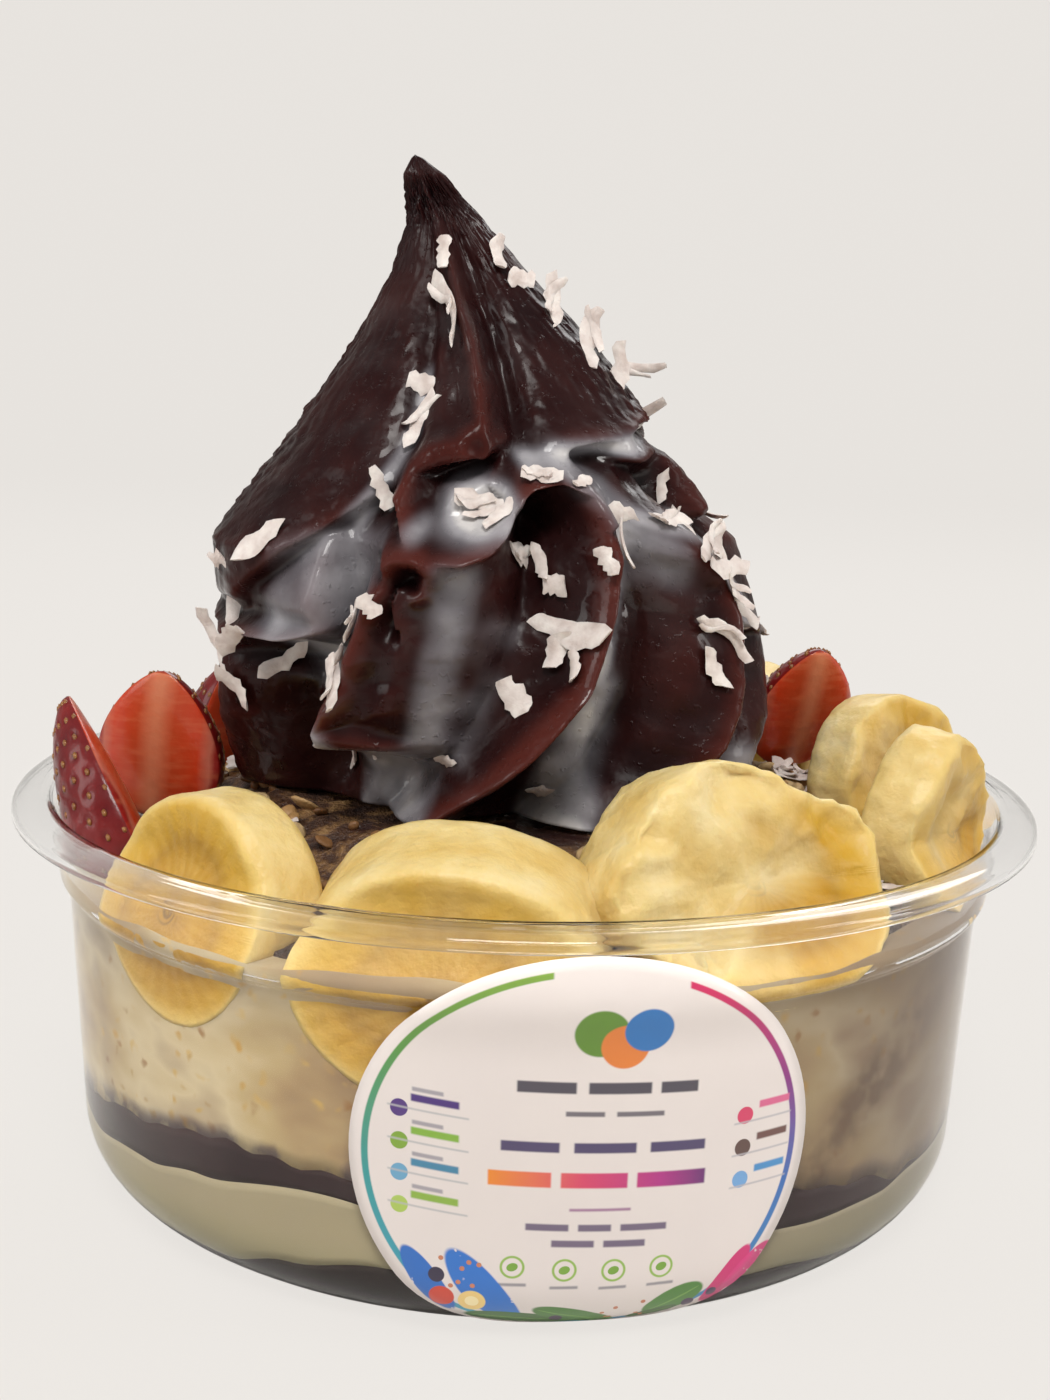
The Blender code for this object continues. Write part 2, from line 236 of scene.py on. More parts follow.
def skin_rings(name, rings):
    """A mesh object from rings of points in millimetres; a ring of one point is a pole."""
    form = bmesh.new()
    rows = [[form.verts.new(Vector(p) * MM) for p in ring] for ring in rings]
    for low, high in zip(rows, rows[1:]):
        count = max(len(low), len(high))
        for i in range(count):
            j = (i + 1) % count
            if len(low) == 1:
                form.faces.new((low[0], high[j], high[i]))
            elif len(high) == 1:
                form.faces.new((low[i], low[j], high[0]))
            else:
                form.faces.new((low[i], low[j], high[j], high[i]))
    bmesh.ops.recalc_face_normals(form, faces=form.faces)
    return finish_mesh(name, form)


def finish_mesh(name, form, crease=None):
    """Keep a form as a smooth object, with edges past the crease angle left sharp."""
    mesh = bpy.data.meshes.new(name)
    form.to_mesh(mesh)
    form.free()
    mesh.shade_smooth()
    if crease:
        mesh.set_sharp_from_angle(angle=radians(crease))
    piece = bpy.data.objects.new(name, mesh)
    scene.collection.objects.link(piece)
    return piece


def round_point(radius, turn, height):
    return radius * cos(turn), radius * sin(turn), height


def turned(name, profile, sides):
    """A profile of radius and height spun about the axis; a radius of 0 is a pole."""
    rings = []
    for r, z in profile:
        around = [round_point(r, 2 * pi * i / sides, z) for i in range(sides)]
        rings.append(around if r > 1e-6 else [(0, 0, z)])
    return skin_rings(name, rings)


sheet_middle = eased_line(SHEET_LINE)
outer_line = moved_line(sheet_middle, SHEET / 2)
inner_line = moved_line(sheet_middle, -SHEET / 2)
outer_line[0] = (0, outer_line[0][1])
inner_line[0] = (0, inner_line[0][1])
wall_stations = [(z, r) for r, z in sheet_middle if r >= FOOT and z < LEDGE_TOP]


def wall_at(height, inward=0.15):
    """Radius of the middle of the sheet at a height, less a distance inward."""
    zs, rs = zip(*sorted(wall_stations))
    return float(np.interp(height, zs, rs)) - inward


LIP_ROUND = 0.25
lip = [((outer_line[-1][0] + inner_line[-1][0]) / 2, outer_line[-1][1] - LIP_ROUND)]
bowl = turned("clear_bowl", outer_line + lip + inner_line[::-1], BOWL_SIDES)
clear, tree, shader = shader_tree("clear plastic")
set_finish(shader, Base_Color=(0.97, 0.975, 0.975, 1), Roughness=0.03, IOR=1.40,
           Specular_IOR_Level=0.22, Transmission_Weight=1.0)
raise_surface(tree, shader, noise(tree, 30, 2), 0.0006, 0.15)
through = add_node(tree, "BsdfTransparent", Color=(0.97, 0.97, 0.97, 1))
mix_shaders(tree, add_node(tree, "LightPath").outputs["Is Shadow Ray"], shader, through)
bowl.data.materials.append(clear)
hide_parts("bowl")
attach(bowl, "root")

# ---------------------------------------------------------------- label
# A round sticker of coated paper on the front of the wall, its lower edge turned under the
# corner. Printed with a two-colour ring, plain discs, bars and brush-like fields of colour.

LABEL_WIDE, LABEL_LONG, LABEL_THICK = 59.0, 54.0, 0.22
LABEL_BEARING, LABEL_TOP = -82.5, 52.2
LABEL_RINGS, LABEL_SPOKES = 16, 96
PRINTED_CRUMBS = 14
GLUE = 0.12
WALL_RADIUS = 67.0
# radius and height of the sheet's middle down the wall behind the label
LABEL_ROUTE = ((68.5, LABEL_TOP), (68.45, 47.4), (68.2, 44.6), (67.4, 42.2), (66.8, 39.2), WALL_FOOT)


def ramp(tree, factor, *stops):
    """A colour ramp: stops are (position, colour)."""
    made = add_node(tree, "ValToRGB", Fac=factor)
    band = made.color_ramp
    while len(band.elements) < len(stops):
        band.elements.new(0.5)
    for element, (position, colour) in zip(band.elements, stops):
        element.position = position
        element.color = (*colour, 1) if len(colour) == 3 else (colour[0],) * 3 + (1,)
    return made.outputs["Color"]


def blend_colour(tree, factor, a, b, kind="MIX"):
    made = add_node(tree, "Mix", {"data_type": "RGBA", "blend_type": kind})
    for slot, value in ((0, factor), (6, a), (7, b)):
        if isinstance(value, bpy.types.NodeSocket):
            tree.links.new(value, made.inputs[slot])
        elif slot == 0:
            made.inputs[0].default_value = value
        else:
            made.inputs[slot].default_value = (*value, 1)
    return made.outputs[2]


def label_place(down, lift):
    """Radius and height of a point a length down the wall from the label's top edge."""
    out = SHEET / 2 + GLUE + lift
    route = [(r + out, z) for r, z in LABEL_ROUTE]
    for step in range(1, 16):
        turn = radians(90 - 5 * step)
        reach = CORNER + out
        route.append((FOOT + reach * sin(turn), CORNER + FOOT_LEVEL - reach * cos(turn)))
    for (ra, za), (rb, zb) in zip(route, route[1:]):
        length = hypot(rb - ra, zb - za)
        if down <= length:
            t = down / length
            return ra + (rb - ra) * t, za + (zb - za) * t
        down -= length
    return rb, zb


def store_marks(piece, name, marks):
    """Keep a vector on each point of a piece, for its material to read."""
    kept = piece.data.attributes.new(name, 'FLOAT_VECTOR', 'POINT')
    for spot, mark in zip(kept.data, marks):
        spot.vector = mark


def stored(tree, name, kind="Fac"):
    return add_node(tree, "Attribute", {"attribute_name": name}).outputs[kind]


rings, marks = [], []
half_wide, half_long = LABEL_WIDE / 2, LABEL_LONG / 2
for lift, order in ((0.0, range(LABEL_RINGS + 1)), (LABEL_THICK, range(LABEL_RINGS, -1, -1))):
    for ring in order:
        row = []
        for i in range(LABEL_SPOKES if ring else 1):
            turn = 2 * pi * i / LABEL_SPOKES
            across = half_wide * ring / LABEL_RINGS * cos(turn)
            up = half_long * ring / LABEL_RINGS * sin(turn)
            r, z = label_place(half_long - up, lift)
            row.append(round_point(r, radians(LABEL_BEARING) + across / WALL_RADIUS, z))
            marks.append((across / half_wide, up / half_long, 0))
        rings.append(row)
label = skin_rings("label_sticker", rings)
store_marks(label, "print", marks)

# the print is laid out on the sticker, with its middle at 0, 0 and its edges at -1 and 1
paper, tree, shader = shader_tree("coated label paper")
where = stored(tree, "print", "Vector")
split = add_node(tree, "SeparateXYZ", Vector=where)
across, up = split.outputs["X"], split.outputs["Y"]
from_middle = add_node(tree, "VectorMath", {"operation": "LENGTH"}, _0=where).outputs["Value"]
ink = blend_colour(tree, noise(tree, 60, 2), (0.77, 0.70, 0.66), (0.73, 0.66, 0.64))


def rise(tree, value, start, end, low=0.0, high=1.0, kind="LINEAR"):
    """From low to high while a value goes from start to end."""
    return add_node(tree, "MapRange", {"interpolation_type": kind},
                    _0=value, _1=start, _2=end, _3=low, _4=high).outputs[0]


def within(tree, value, low, high, soft=0.006):
    """1 where a value lies between two limits."""
    up_edge = rise(tree, value, low - soft, low + soft, kind="SMOOTHSTEP")
    down_edge = rise(tree, value, high - soft, high + soft, kind="SMOOTHSTEP")
    return number(tree, "SUBTRACT", up_edge, down_edge, True)


def box_mark(x, y, wide, tall, tilt=0.0):
    """1 inside a bar whose middle is at x, y."""
    shift = times(tree, across, tilt)
    level = number(tree, "SUBTRACT", up, shift)
    return times(tree, within(tree, across, x - wide / 2, x + wide / 2),
                 within(tree, level, y - tall / 2, y + tall / 2))


def oval_mark(x, y, wide, tall, turn=0.0, ring=0.0):
    """1 inside an oval, or on its ring."""
    dx = number(tree, "SUBTRACT", across, x)
    dy = number(tree, "SUBTRACT", up, y)
    c, s = cos(radians(turn)), sin(radians(turn))
    u = plus(tree, times(tree, dx, c / wide * 2), times(tree, dy, s / wide * 2))
    v = plus(tree, times(tree, dx, -s / tall * 2), times(tree, dy, c / tall * 2))
    reach = number(tree, "SQRT", plus(tree, times(tree, u, u), times(tree, v, v)))
    return within(tree, reach, 1 - ring if ring else -1.0, 1.0, 0.05)


def stamp(colour, mask):
    """Print a colour over the ink so far, where the mask is 1."""
    global ink
    ink = blend_colour(tree, mask, ink, colour)


side = rise(tree, up, -1.0, 1.0)
left_ring = ramp(tree, side, (0.0, (0.05, 0.33, 0.52)), (0.45, (0.03, 0.30, 0.30)),
                 (0.75, (0.09, 0.28, 0.05)), (1.0, (0.20, 0.34, 0.03)))
right_ring = ramp(tree, side, (0.0, (0.04, 0.28, 0.50)), (0.4, (0.03, 0.13, 0.42)),
                  (0.65, (0.22, 0.02, 0.20)), (0.9, (0.58, 0.01, 0.10)))
ring_band = within(tree, from_middle, 0.915, 0.945, 0.004)
gap = within(tree, across, -0.17, 0.37)
top_gap = times(tree, gap, within(tree, up, 0.5, 2.0))
ring_band = times(tree, ring_band, number(tree, "SUBTRACT", 1.0, top_gap))
right_half = within(tree, across, 0.1, 2.0, 0.004)
stamp(blend_colour(tree, right_half, left_ring, right_ring), ring_band)
for x, y, wide, colour in ((0.03, 0.63, 0.22, (0.11, 0.24, 0.02)),
                           (0.13, 0.56, 0.20, (0.72, 0.20, 0.03)),
                           (0.22, 0.64, 0.20, (0.02, 0.16, 0.45))):
    stamp(colour, oval_mark(x, y, wide, wide + 0.02))
warm = ramp(tree, rise(tree, across, -0.4, 0.55),
            (0.0, (0.80, 0.24, 0.02)), (0.4, (0.66, 0.05, 0.13)), (0.75, (0.42, 0.02, 0.22)),
            (1.0, (0.07, 0.02, 0.14)))
BAR_ROWS = (                   # height, bar's height, slope, colour, (middle, width) of each bar
    (0.36, 0.055, -0.04, (0.07, 0.06, 0.08), ((-0.18, 0.24), (0.12, 0.26), (0.37, 0.16))),
    (0.235, 0.024, -0.04, (0.16, 0.14, 0.16), ((-0.02, 0.16), (0.21, 0.20))),
    (0.07, 0.050, -0.04, (0.07, 0.05, 0.13), ((-0.24, 0.24), (0.07, 0.26), (0.38, 0.24))),
    (-0.09, 0.075, -0.04, warm, ((-0.28, 0.26), (0.03, 0.28), (0.36, 0.30))),
    (-0.235, 0.014, -0.03, (0.35, 0.18, 0.30), ((0.06, 0.26),)),
    (-0.325, 0.034, -0.04, (0.16, 0.12, 0.19), ((-0.16, 0.18), (0.04, 0.14), (0.25, 0.20))),
    (-0.405, 0.034, -0.04, (0.16, 0.12, 0.19), ((-0.05, 0.18), (0.17, 0.18))),
)
for y, tall, slope, colour, bars in BAR_ROWS:
    for x, wide in bars:
        stamp(colour, box_mark(x, y, wide, tall, slope))
for x, y in ((-0.30, -0.52), (-0.08, -0.535), (0.13, -0.545), (0.34, -0.545)):
    stamp((0.28, 0.46, 0.08), oval_mark(x, y, 0.105, 0.115, 0, 0.2))
    stamp((0.18, 0.36, 0.04), oval_mark(x, y, 0.05, 0.04, 30))
    stamp((0.30, 0.28, 0.30), box_mark(x, y - 0.09, 0.12, 0.016))
for y, mark, bar in ((0.21, (0.08, 0.03, 0.20), (0.06, 0.02, 0.18)),
                     (0.05, (0.20, 0.36, 0.03), (0.22, 0.42, 0.04)),
                     (-0.105, (0.14, 0.36, 0.55), (0.05, 0.22, 0.36)),
                     (-0.265, (0.40, 0.55, 0.10), (0.25, 0.42, 0.05))):
    stamp(mark, oval_mark(-0.78, y + 0.02, 0.075, 0.085))
    stamp((0.36, 0.33, 0.36), box_mark(-0.66, y + 0.03, 0.13, 0.020, -0.12))
    stamp(bar, box_mark(-0.63, y - 0.012, 0.20, 0.036, -0.12))
    stamp((0.45, 0.44, 0.45), box_mark(-0.66, y - 0.068, 0.34, 0.008, -0.12))
for y, mark, bar in ((0.16, (0.62, 0.04, 0.12), (0.66, 0.12, 0.26)),
                     (0.0, (0.10, 0.05, 0.04), (0.14, 0.06, 0.05)),
                     (-0.16, (0.16, 0.36, 0.66), (0.06, 0.26, 0.55))):
    stamp(mark, oval_mark(0.68, y, 0.075, 0.085))
    stamp(bar, box_mark(0.82, y, 0.15, 0.036, 0.06))
    stamp((0.45, 0.42, 0.45), box_mark(0.77, y - 0.075, 0.28, 0.008, 0.06))
for x, y, wide, tall, turn, colour in ((-0.66, -0.62, 0.12, 0.40, 32, (0.02, 0.14, 0.50)),
                                       (-0.42, -0.66, 0.17, 0.52, 35, (0.02, 0.16, 0.56)),
                                       (0.66, -0.66, 0.10, 0.36, -32, (0.60, 0.02, 0.16)),
                                       (0.76, -0.62, 0.10, 0.30, -45, (0.66, 0.03, 0.20))):
    bristles = within(tree, noise(tree, 700, 2), 0.30, 2.0, 0.03)
    stamp(colour, times(tree, oval_mark(x, y, wide, tall, turn), bristles))
for x, y, wide, tall, turn, colour in ((-0.25, -0.86, 0.52, 0.12, -8, (0.045, 0.14, 0.02)),
                                       (-0.02, -0.84, 0.40, 0.13, -22, (0.07, 0.20, 0.03)),
                                       (0.42, -0.76, 0.30, 0.16, 35, (0.07, 0.22, 0.03)),
                                       (0.34, -0.86, 0.24, 0.07, 20, (0.05, 0.12, 0.03))):
    stamp(colour, oval_mark(x, y, wide, tall, turn))
    stamp((0.16, 0.34, 0.06), oval_mark(x, y, wide * 0.9, tall * 0.07, turn))
for x, y, size, colour in ((-0.60, -0.70, 0.11, (0.62, 0.06, 0.03)),
                           (-0.47, -0.72, 0.12, (0.86, 0.62, 0.22)),
                           (-0.62, -0.58, 0.07, (0.03, 0.02, 0.05)),
                           (0.50, -0.80, 0.06, (0.05, 0.02, 0.07)),
                           (0.60, -0.74, 0.05, (0.05, 0.02, 0.07)),
                           (-0.10, -0.86, 0.06, (0.05, 0.02, 0.06))):
    stamp(colour, oval_mark(x, y, size, size * 1.1))
stamp((0.95, 0.80, 0.45), oval_mark(-0.47, -0.72, 0.06, 0.066))
crumbs = random.Random(4)
for count in range(PRINTED_CRUMBS):
    near = (-0.52, -0.60) if count % 2 else (0.22, -0.83)
    x, y = near[0] + crumbs.uniform(-0.13, 0.10), near[1] + crumbs.uniform(-0.06, 0.12)
    stamp((0.55, 0.20, 0.10), oval_mark(x, y, 0.022, 0.024))
tree.links.new(ink, shader.inputs["Base Color"])
set_finish(shader, Roughness=0.32, Coat_Weight=0.3)
raise_surface(tree, shader, noise(tree, 55, 2), 0.0012, 0.25)
label.data.materials.append(paper)
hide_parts("label")
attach(label, "root")

# ---------------------------------------------------------------- layers
# What fills the bowl, seen through its wall: dark puree at the bottom, pale cream, a dark
# band of puree, then yogurt with granola. Each was spooned in, so its edges wave.

BASE_TOP = ((-150, 3.4), (-126, 4.4), (-116, 7.4), (-104, 9.5), (-85, 9.8), (-60, 6.6),
            (-45, 5.0), (-20, 4.4), (40, 5.5), (120, 4.2))
BAND_FOOT = ((-165, 12.4), (-153, 11.8), (-138, 13.4), (-128, 15.7), (-113, 18.0), (-85, 15.0),
             (-57, 12.0), (-42, 12.4), (-36, 13.0), (0, 14.5), (45, 12.0), (95, 15.5), (150, 13.0))
BAND_DEPTH = ((-165, 3.0), (-153, 4.6), (-138, 5.6), (-128, 6.1), (-113, 3.4), (-108, 3.5),
              (-85, 4.2), (-57, 5.4), (-45, 3.6), (-38, 0.6), (-20, 0.5), (0, 1.4), (45, 4.0),
              (95, 5.0), (150, 3.6))
THINNEST_BAND = 0.25
PUREE_FOOT = 1.2
CREAM_TOP = 47.6


def noise_colour(tree, scale):
    made = add_node(tree, "TexNoise", Scale=scale, Detail=2.0)
    tree.links.new(place_on(tree), made.inputs["Vector"])
    return made.outputs["Color"]


def round_the_bowl(stations, bearing):
    """Soft reading of (bearing, height) stations, all round the bowl."""
    first = stations[0][0]
    at = (bearing - first) % 360 + first
    ring = list(stations) + [(first + 360, stations[0][1])]
    for (a, u), (b, v) in zip(ring, ring[1:]):
        if a <= at <= b:
            t = (1 - cos(pi * (at - a) / (b - a))) / 2
            return u + (v - u) * t
    return stations[0][1]


def wander(bearing, seed, size):
    """A small unevenness along an edge."""
    broad = sin(radians(bearing * 5 + seed * 40)) + 0.6 * sin(radians(bearing * 13 + seed * 71))
    return size * (broad + 0.35 * sin(radians(bearing * 29 + seed * 13)))


def base_top(bearing):
    return round_the_bowl(BASE_TOP, bearing) + wander(bearing, 1, 0.18)


def band_foot(bearing):
    return round_the_bowl(BAND_FOOT, bearing) + wander(bearing, 2, 0.25)


def band_top(bearing):
    """The band's upper edge, jagged where granola was pressed into it."""
    jag = 0.30 * sin(radians(bearing * 47)) * sin(radians(bearing * 7 + 30))
    jag = jag + 0.22 * sin(radians(bearing * 61 + 50))
    depth = round_the_bowl(BAND_DEPTH, bearing) + wander(bearing, 3, 0.35) + jag
    return band_foot(bearing) + max(depth, THINNEST_BAND)


def fill_layer(name, foot, top, middle_foot, middle_top, steps=8, sides=288):
    """Everything between two wavy surfaces, pressed into the wall."""
    spokes = [(360 * i / sides, radians(360 * i / sides)) for i in range(sides)]

    def inner_ring(edge, middle, share):
        """A ring inside the wall, on the way from the edge's height to the middle's."""
        return [round_point(wall_at(edge(b)) * share, t, middle + (edge(b) - middle) * share ** 3)
                for b, t in spokes]

    rings = [[(0, 0, middle_foot)]] + [inner_ring(foot, middle_foot, share) for share in (0.5, 0.85)]
    for step in range(steps + 1):
        ring = []
        for b, t in spokes:
            z = foot(b) + (top(b) - foot(b)) * step / steps
            ring.append(round_point(wall_at(z), t, z))
        rings.append(ring)
    rings += [inner_ring(top, middle_top, share) for share in (0.85, 0.5)]
    return skin_rings(name, rings + [[(0, 0, middle_top)]])


def puree_look(name, colour, cloud):
    look, tree, shader = shader_tree(name)
    drift = noise(tree, 70, 4)
    tree.links.new(ramp(tree, drift, (0.35, colour), (0.7, cloud)), shader.inputs["Base Color"])
    set_finish(shader, Roughness=0.35, Specular_IOR_Level=0.05)
    return look


dark_puree = puree_look("puree behind the wall", (0.026, 0.012, 0.013), (0.046, 0.024, 0.024))
# the same puree in a darker colour for the foot of the bowl: painted shade
shade_puree = puree_look("puree at the foot", (0.016, 0.009, 0.008), (0.036, 0.024, 0.020))

pale_cream, tree, shader = shader_tree("pale lower cream")
where = place_on(tree)
split = add_node(tree, "SeparateXYZ", Vector=where)
# the cream is painted darker towards the foot of the bowl: painted shade along the base edge
lift = rise(tree, split.outputs["Z"], 0.0, 0.012)
tone = ramp(tree, lift, (0.0, (0.080, 0.078, 0.042)), (0.40, (0.37, 0.335, 0.175)),
            (1.0, (0.42, 0.355, 0.215)))
tone = blend_colour(tree, times(tree, noise(tree, 38, 4), 0.5), tone, (0.30, 0.25, 0.19))
# the right side, turned away, is painted darker: painted shade
shaded_right_side = rise(tree, split.outputs["X"], 0.01, 0.055)
tone = blend_colour(tree, times(tree, shaded_right_side, 0.55), tone, (0.14, 0.13, 0.11))
tree.links.new(tone, shader.inputs["Base Color"])
set_finish(shader, Roughness=0.45, Specular_IOR_Level=0.05)

mixed_cream, tree, shader = shader_tree("yogurt and granola")
where = place_on(tree)
split = add_node(tree, "SeparateXYZ", Vector=where)
stretched = add_node(tree, "Mapping", Vector=where, Scale=(1, 1, 1.8)).outputs[0]
cloudy = noise(tree, 34, 3, stretched, 0.5)
tone = ramp(tree, cloudy, (0.34, (0.31, 0.205, 0.120)), (0.45, (0.44, 0.310, 0.165)),
            (0.53, (0.54, 0.415, 0.220)), (0.61, (0.65, 0.54, 0.345)), (0.70, (0.40, 0.295, 0.185)))
upper_part = rise(tree, split.outputs["Z"], 0.034, 0.046)
tone = blend_colour(tree, times(tree, upper_part, 0.5), tone, (0.29, 0.225, 0.155))
bent = add_node(tree, "MixRGB", {"blend_type": "ADD"}, _0=0.0035, _1=where, _2=noise_colour(tree, 300))
grains = add_node(tree, "TexVoronoi", {"feature": "F1"}, Vector=bent.outputs[0],
                  Scale=330.0, Randomness=1.0)
fleck = within(tree, grains.outputs["Distance"], -1.0, 0.22, 0.14)
patch = ramp(tree, noise(tree, 60, 3), (0.46, (0,)), (0.54, (1,)))
fleck = times(tree, fleck, patch)
grain_tone = ramp(tree, grains.outputs["Color"], (0.2, (0.56, 0.32, 0.07)), (0.5, (0.62, 0.42, 0.14)),
                  (0.8, (0.34, 0.17, 0.06)))
tone = blend_colour(tree, times(tree, fleck, 0.8), tone, grain_tone)
# just over the band the puree has soaked in, in broken patches
edge_line = within(tree, stored(tree, "above_band"), -1.0, 0.5, 0.5)
edge_line = times(tree, edge_line, ramp(tree, noise(tree, 190, 4), (0.42, (0,)), (0.54, (1,))))
tone = blend_colour(tree, times(tree, edge_line, 0.8), tone, (0.14, 0.10, 0.125))
# a slanting streak of dark crumbs on the right, painted shade that makes the yogurt there darker and
# greyer, and violet smears far left
slant = plus(tree, split.outputs["Z"], times(tree, split.outputs["X"], -1.05))
streak = within(tree, slant, -0.0250, -0.0140, 0.0030)
right = rise(tree, split.outputs["X"], 0.030, 0.040)
crumb = times(tree, times(tree, streak, right),
              ramp(tree, noise(tree, 160, 4), (0.36, (0.25,)), (0.56, (1,))))
tone = blend_colour(tree, times(tree, crumb, 0.9), tone, (0.10, 0.050, 0.028))
# painted shade: the yogurt darker and greyer towards the right side
shade_on_right = rise(tree, split.outputs["X"], 0.015, 0.055)
tone = blend_colour(tree, times(tree, shade_on_right, 0.85), tone, (0.16, 0.105, 0.066))
far_left = rise(tree, split.outputs["X"], -0.054, -0.062)
smear = times(tree, far_left, ramp(tree, noise(tree, 60, 3), (0.50, (0,)), (0.60, (1,))))
tone = blend_colour(tree, times(tree, smear, 0.75), tone, (0.13, 0.055, 0.085))
tree.links.new(tone, shader.inputs["Base Color"])
set_finish(shader, Roughness=0.4, Specular_IOR_Level=0.05)
raise_surface(tree, shader, cloudy, 0.001, 0.4)

LAYERS = (                     # piece, node, lower and upper surface, their middles, steps, look
    ("puree_foot", "acai_base", lambda b: PUREE_FOOT, base_top, 2.0, 5.5, 8, shade_puree),
    ("cream_low", "cream_lower", base_top, band_foot, 5.6, 14.0, 8, pale_cream),
    ("puree_band", "acai_band", band_foot, band_top, 14.1, 17.5, 4, dark_puree),
    ("yogurt_and_grain", "cream_upper", band_top, lambda b: CREAM_TOP + wander(b, 5, 0.5),
     17.6, 45.5, 12, mixed_cream),
)
for name, node, foot, top, middle_foot, middle_top, steps, look in LAYERS:
    piece = fill_layer(name, foot, top, middle_foot, middle_top, steps)
    if look is mixed_cream:
        # height over the band, as a share of how far the puree soaks up
        above = piece.data.attributes.new("above_band", 'FLOAT', 'POINT')
        for i, v in enumerate(piece.data.vertices):
            x, y, z = v.co / MM
            b = atan2(y, x) * 180 / pi
            above.data[i].value = (z - band_top(b)) / (2.5 + 2.0 * sin(radians(b * 3 + 20)) ** 2)
    piece.data.materials.append(look)
    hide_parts(node)
    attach(piece, "root")

# ---------------------------------------------------------------- granola
# A mound of toasted oats and crumbs, soaked dark by the puree near the swirl and with painted
# shade in its hollows, with loose rolled flakes of three sizes scattered all over it.

HEAP_TOP, HEAP_FLAT, HEAP_RIM = 56.4, 40.0, 47.0
HEAP_WIDE, HEAP_EDGE, HEAP_FOOT, HEAP_SIDES = 67.2, 66.5, 44.5, 144
GROUND_SPOKES, GROUND_REACHES = 100, (36, 41, 46, 50, 55, 59)
OATS_PER_METRE, OAT_SEED, OAT_SMALLEST, OAT_LARGEST = 62000.0, 7, 0.55, 1.1


def heap_height(x, y):
    """Height of the mound: level in the middle, falling towards the wall, and lumpy."""
    reach, bearing = hypot(x, y), atan2(y, x)
    fall = min(max((reach - HEAP_FLAT) / (HEAP_EDGE - HEAP_FLAT), 0), 1)
    lumps = 0.9 * sin(7 * bearing) * sin(pi * fall) + 0.5 * sin(x * 0.9) * cos(y * 0.8)
    return HEAP_TOP + (HEAP_RIM - HEAP_TOP) * fall ** 0.65 + lumps


def heap_ring(reach, level=None):
    """A ring at one level under the mound, or lying on it where no level is given."""
    ring = [round_point(reach, 2 * pi * i / HEAP_SIDES, level) for i in range(HEAP_SIDES)]
    return [(x, y, heap_height(x, y)) for x, y, z in ring] if level is None else ring


rings = [[(0, 0, HEAP_FOOT)]]
rings += [heap_ring(HEAP_WIDE * share, HEAP_FOOT) for share in (0.5, 0.85, 0.94)]
rings += [heap_ring(HEAP_WIDE * share) for share in (0.94, 0.92, 0.9, 0.86, 0.82, 0.78, 0.74, 0.7,
                                                     0.66, 0.62, 0.56, 0.5, 0.3)]
rings.append([(0, 0, HEAP_TOP)])
mound = skin_rings("granola_mound", rings)
soaked, tree, shader = shader_tree("soaked granola")
coarse = noise(tree, 210, 5, roughness=0.7)
fine = noise(tree, 75, 3)
# the colour follows the same noise as the bump, darkest where it is low: painted shade in the hollows
# over the oats' own toasted tones
tone = ramp(tree, coarse, (0.32, (0.020, 0.009, 0.008)), (0.48, (0.075, 0.034, 0.018)),
            (0.60, (0.26, 0.14, 0.055)), (0.72, (0.45, 0.28, 0.12)))
tone = blend_colour(tree, ramp(tree, fine, (0.45, (0,)), (0.62, (0.8,))), tone, (0.030, 0.010, 0.011))
tree.links.new(tone, shader.inputs["Base Color"])
tree.links.new(ramp(tree, fine, (0.4, (0.55,)), (0.6, (0.18,))), shader.inputs["Roughness"])
raise_surface(tree, shader, coarse, 0.0035, 0.8)
mound.data.materials.append(soaked)
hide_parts("granola")
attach(mound, "root")


def flake_form(name, long, wide, thick, seed):
    """A rolled oat flake: a small rounded chip with a bent, uneven outline."""
    chance = random.Random(seed)
    form = bmesh.new()
    bmesh.ops.create_icosphere(form, subdivisions=2, radius=0.5)
    for v in form.verts:
        v.co.x *= long * (1 + chance.uniform(-0.10, 0.10))
        v.co.y *= wide * (1 + chance.uniform(-0.10, 0.10))
        v.co.z = v.co.z * thick * (1 + chance.uniform(-0.2, 0.2)) + 0.12 * v.co.x * v.co.x / long
        v.co *= MM
    return finish_mesh(name, form)


toasted, tree, shader = shader_tree("toasted oats")
tint = stored(tree, "tint")
tone = ramp(tree, tint, (0.0, (0.09, 0.035, 0.015)), (0.35, (0.30, 0.15, 0.05)),
            (0.7, (0.50, 0.31, 0.12)), (1.0, (0.62, 0.45, 0.23)))
tone = blend_colour(tree, times(tree, noise(tree, 700, 3), 0.5), tone, (0.20, 0.09, 0.035))
tree.links.new(tone, shader.inputs["Base Color"])
set_finish(shader, Roughness=0.5)
raise_surface(tree, shader, noise(tree, 1200, 3), 0.0004, 0.5)


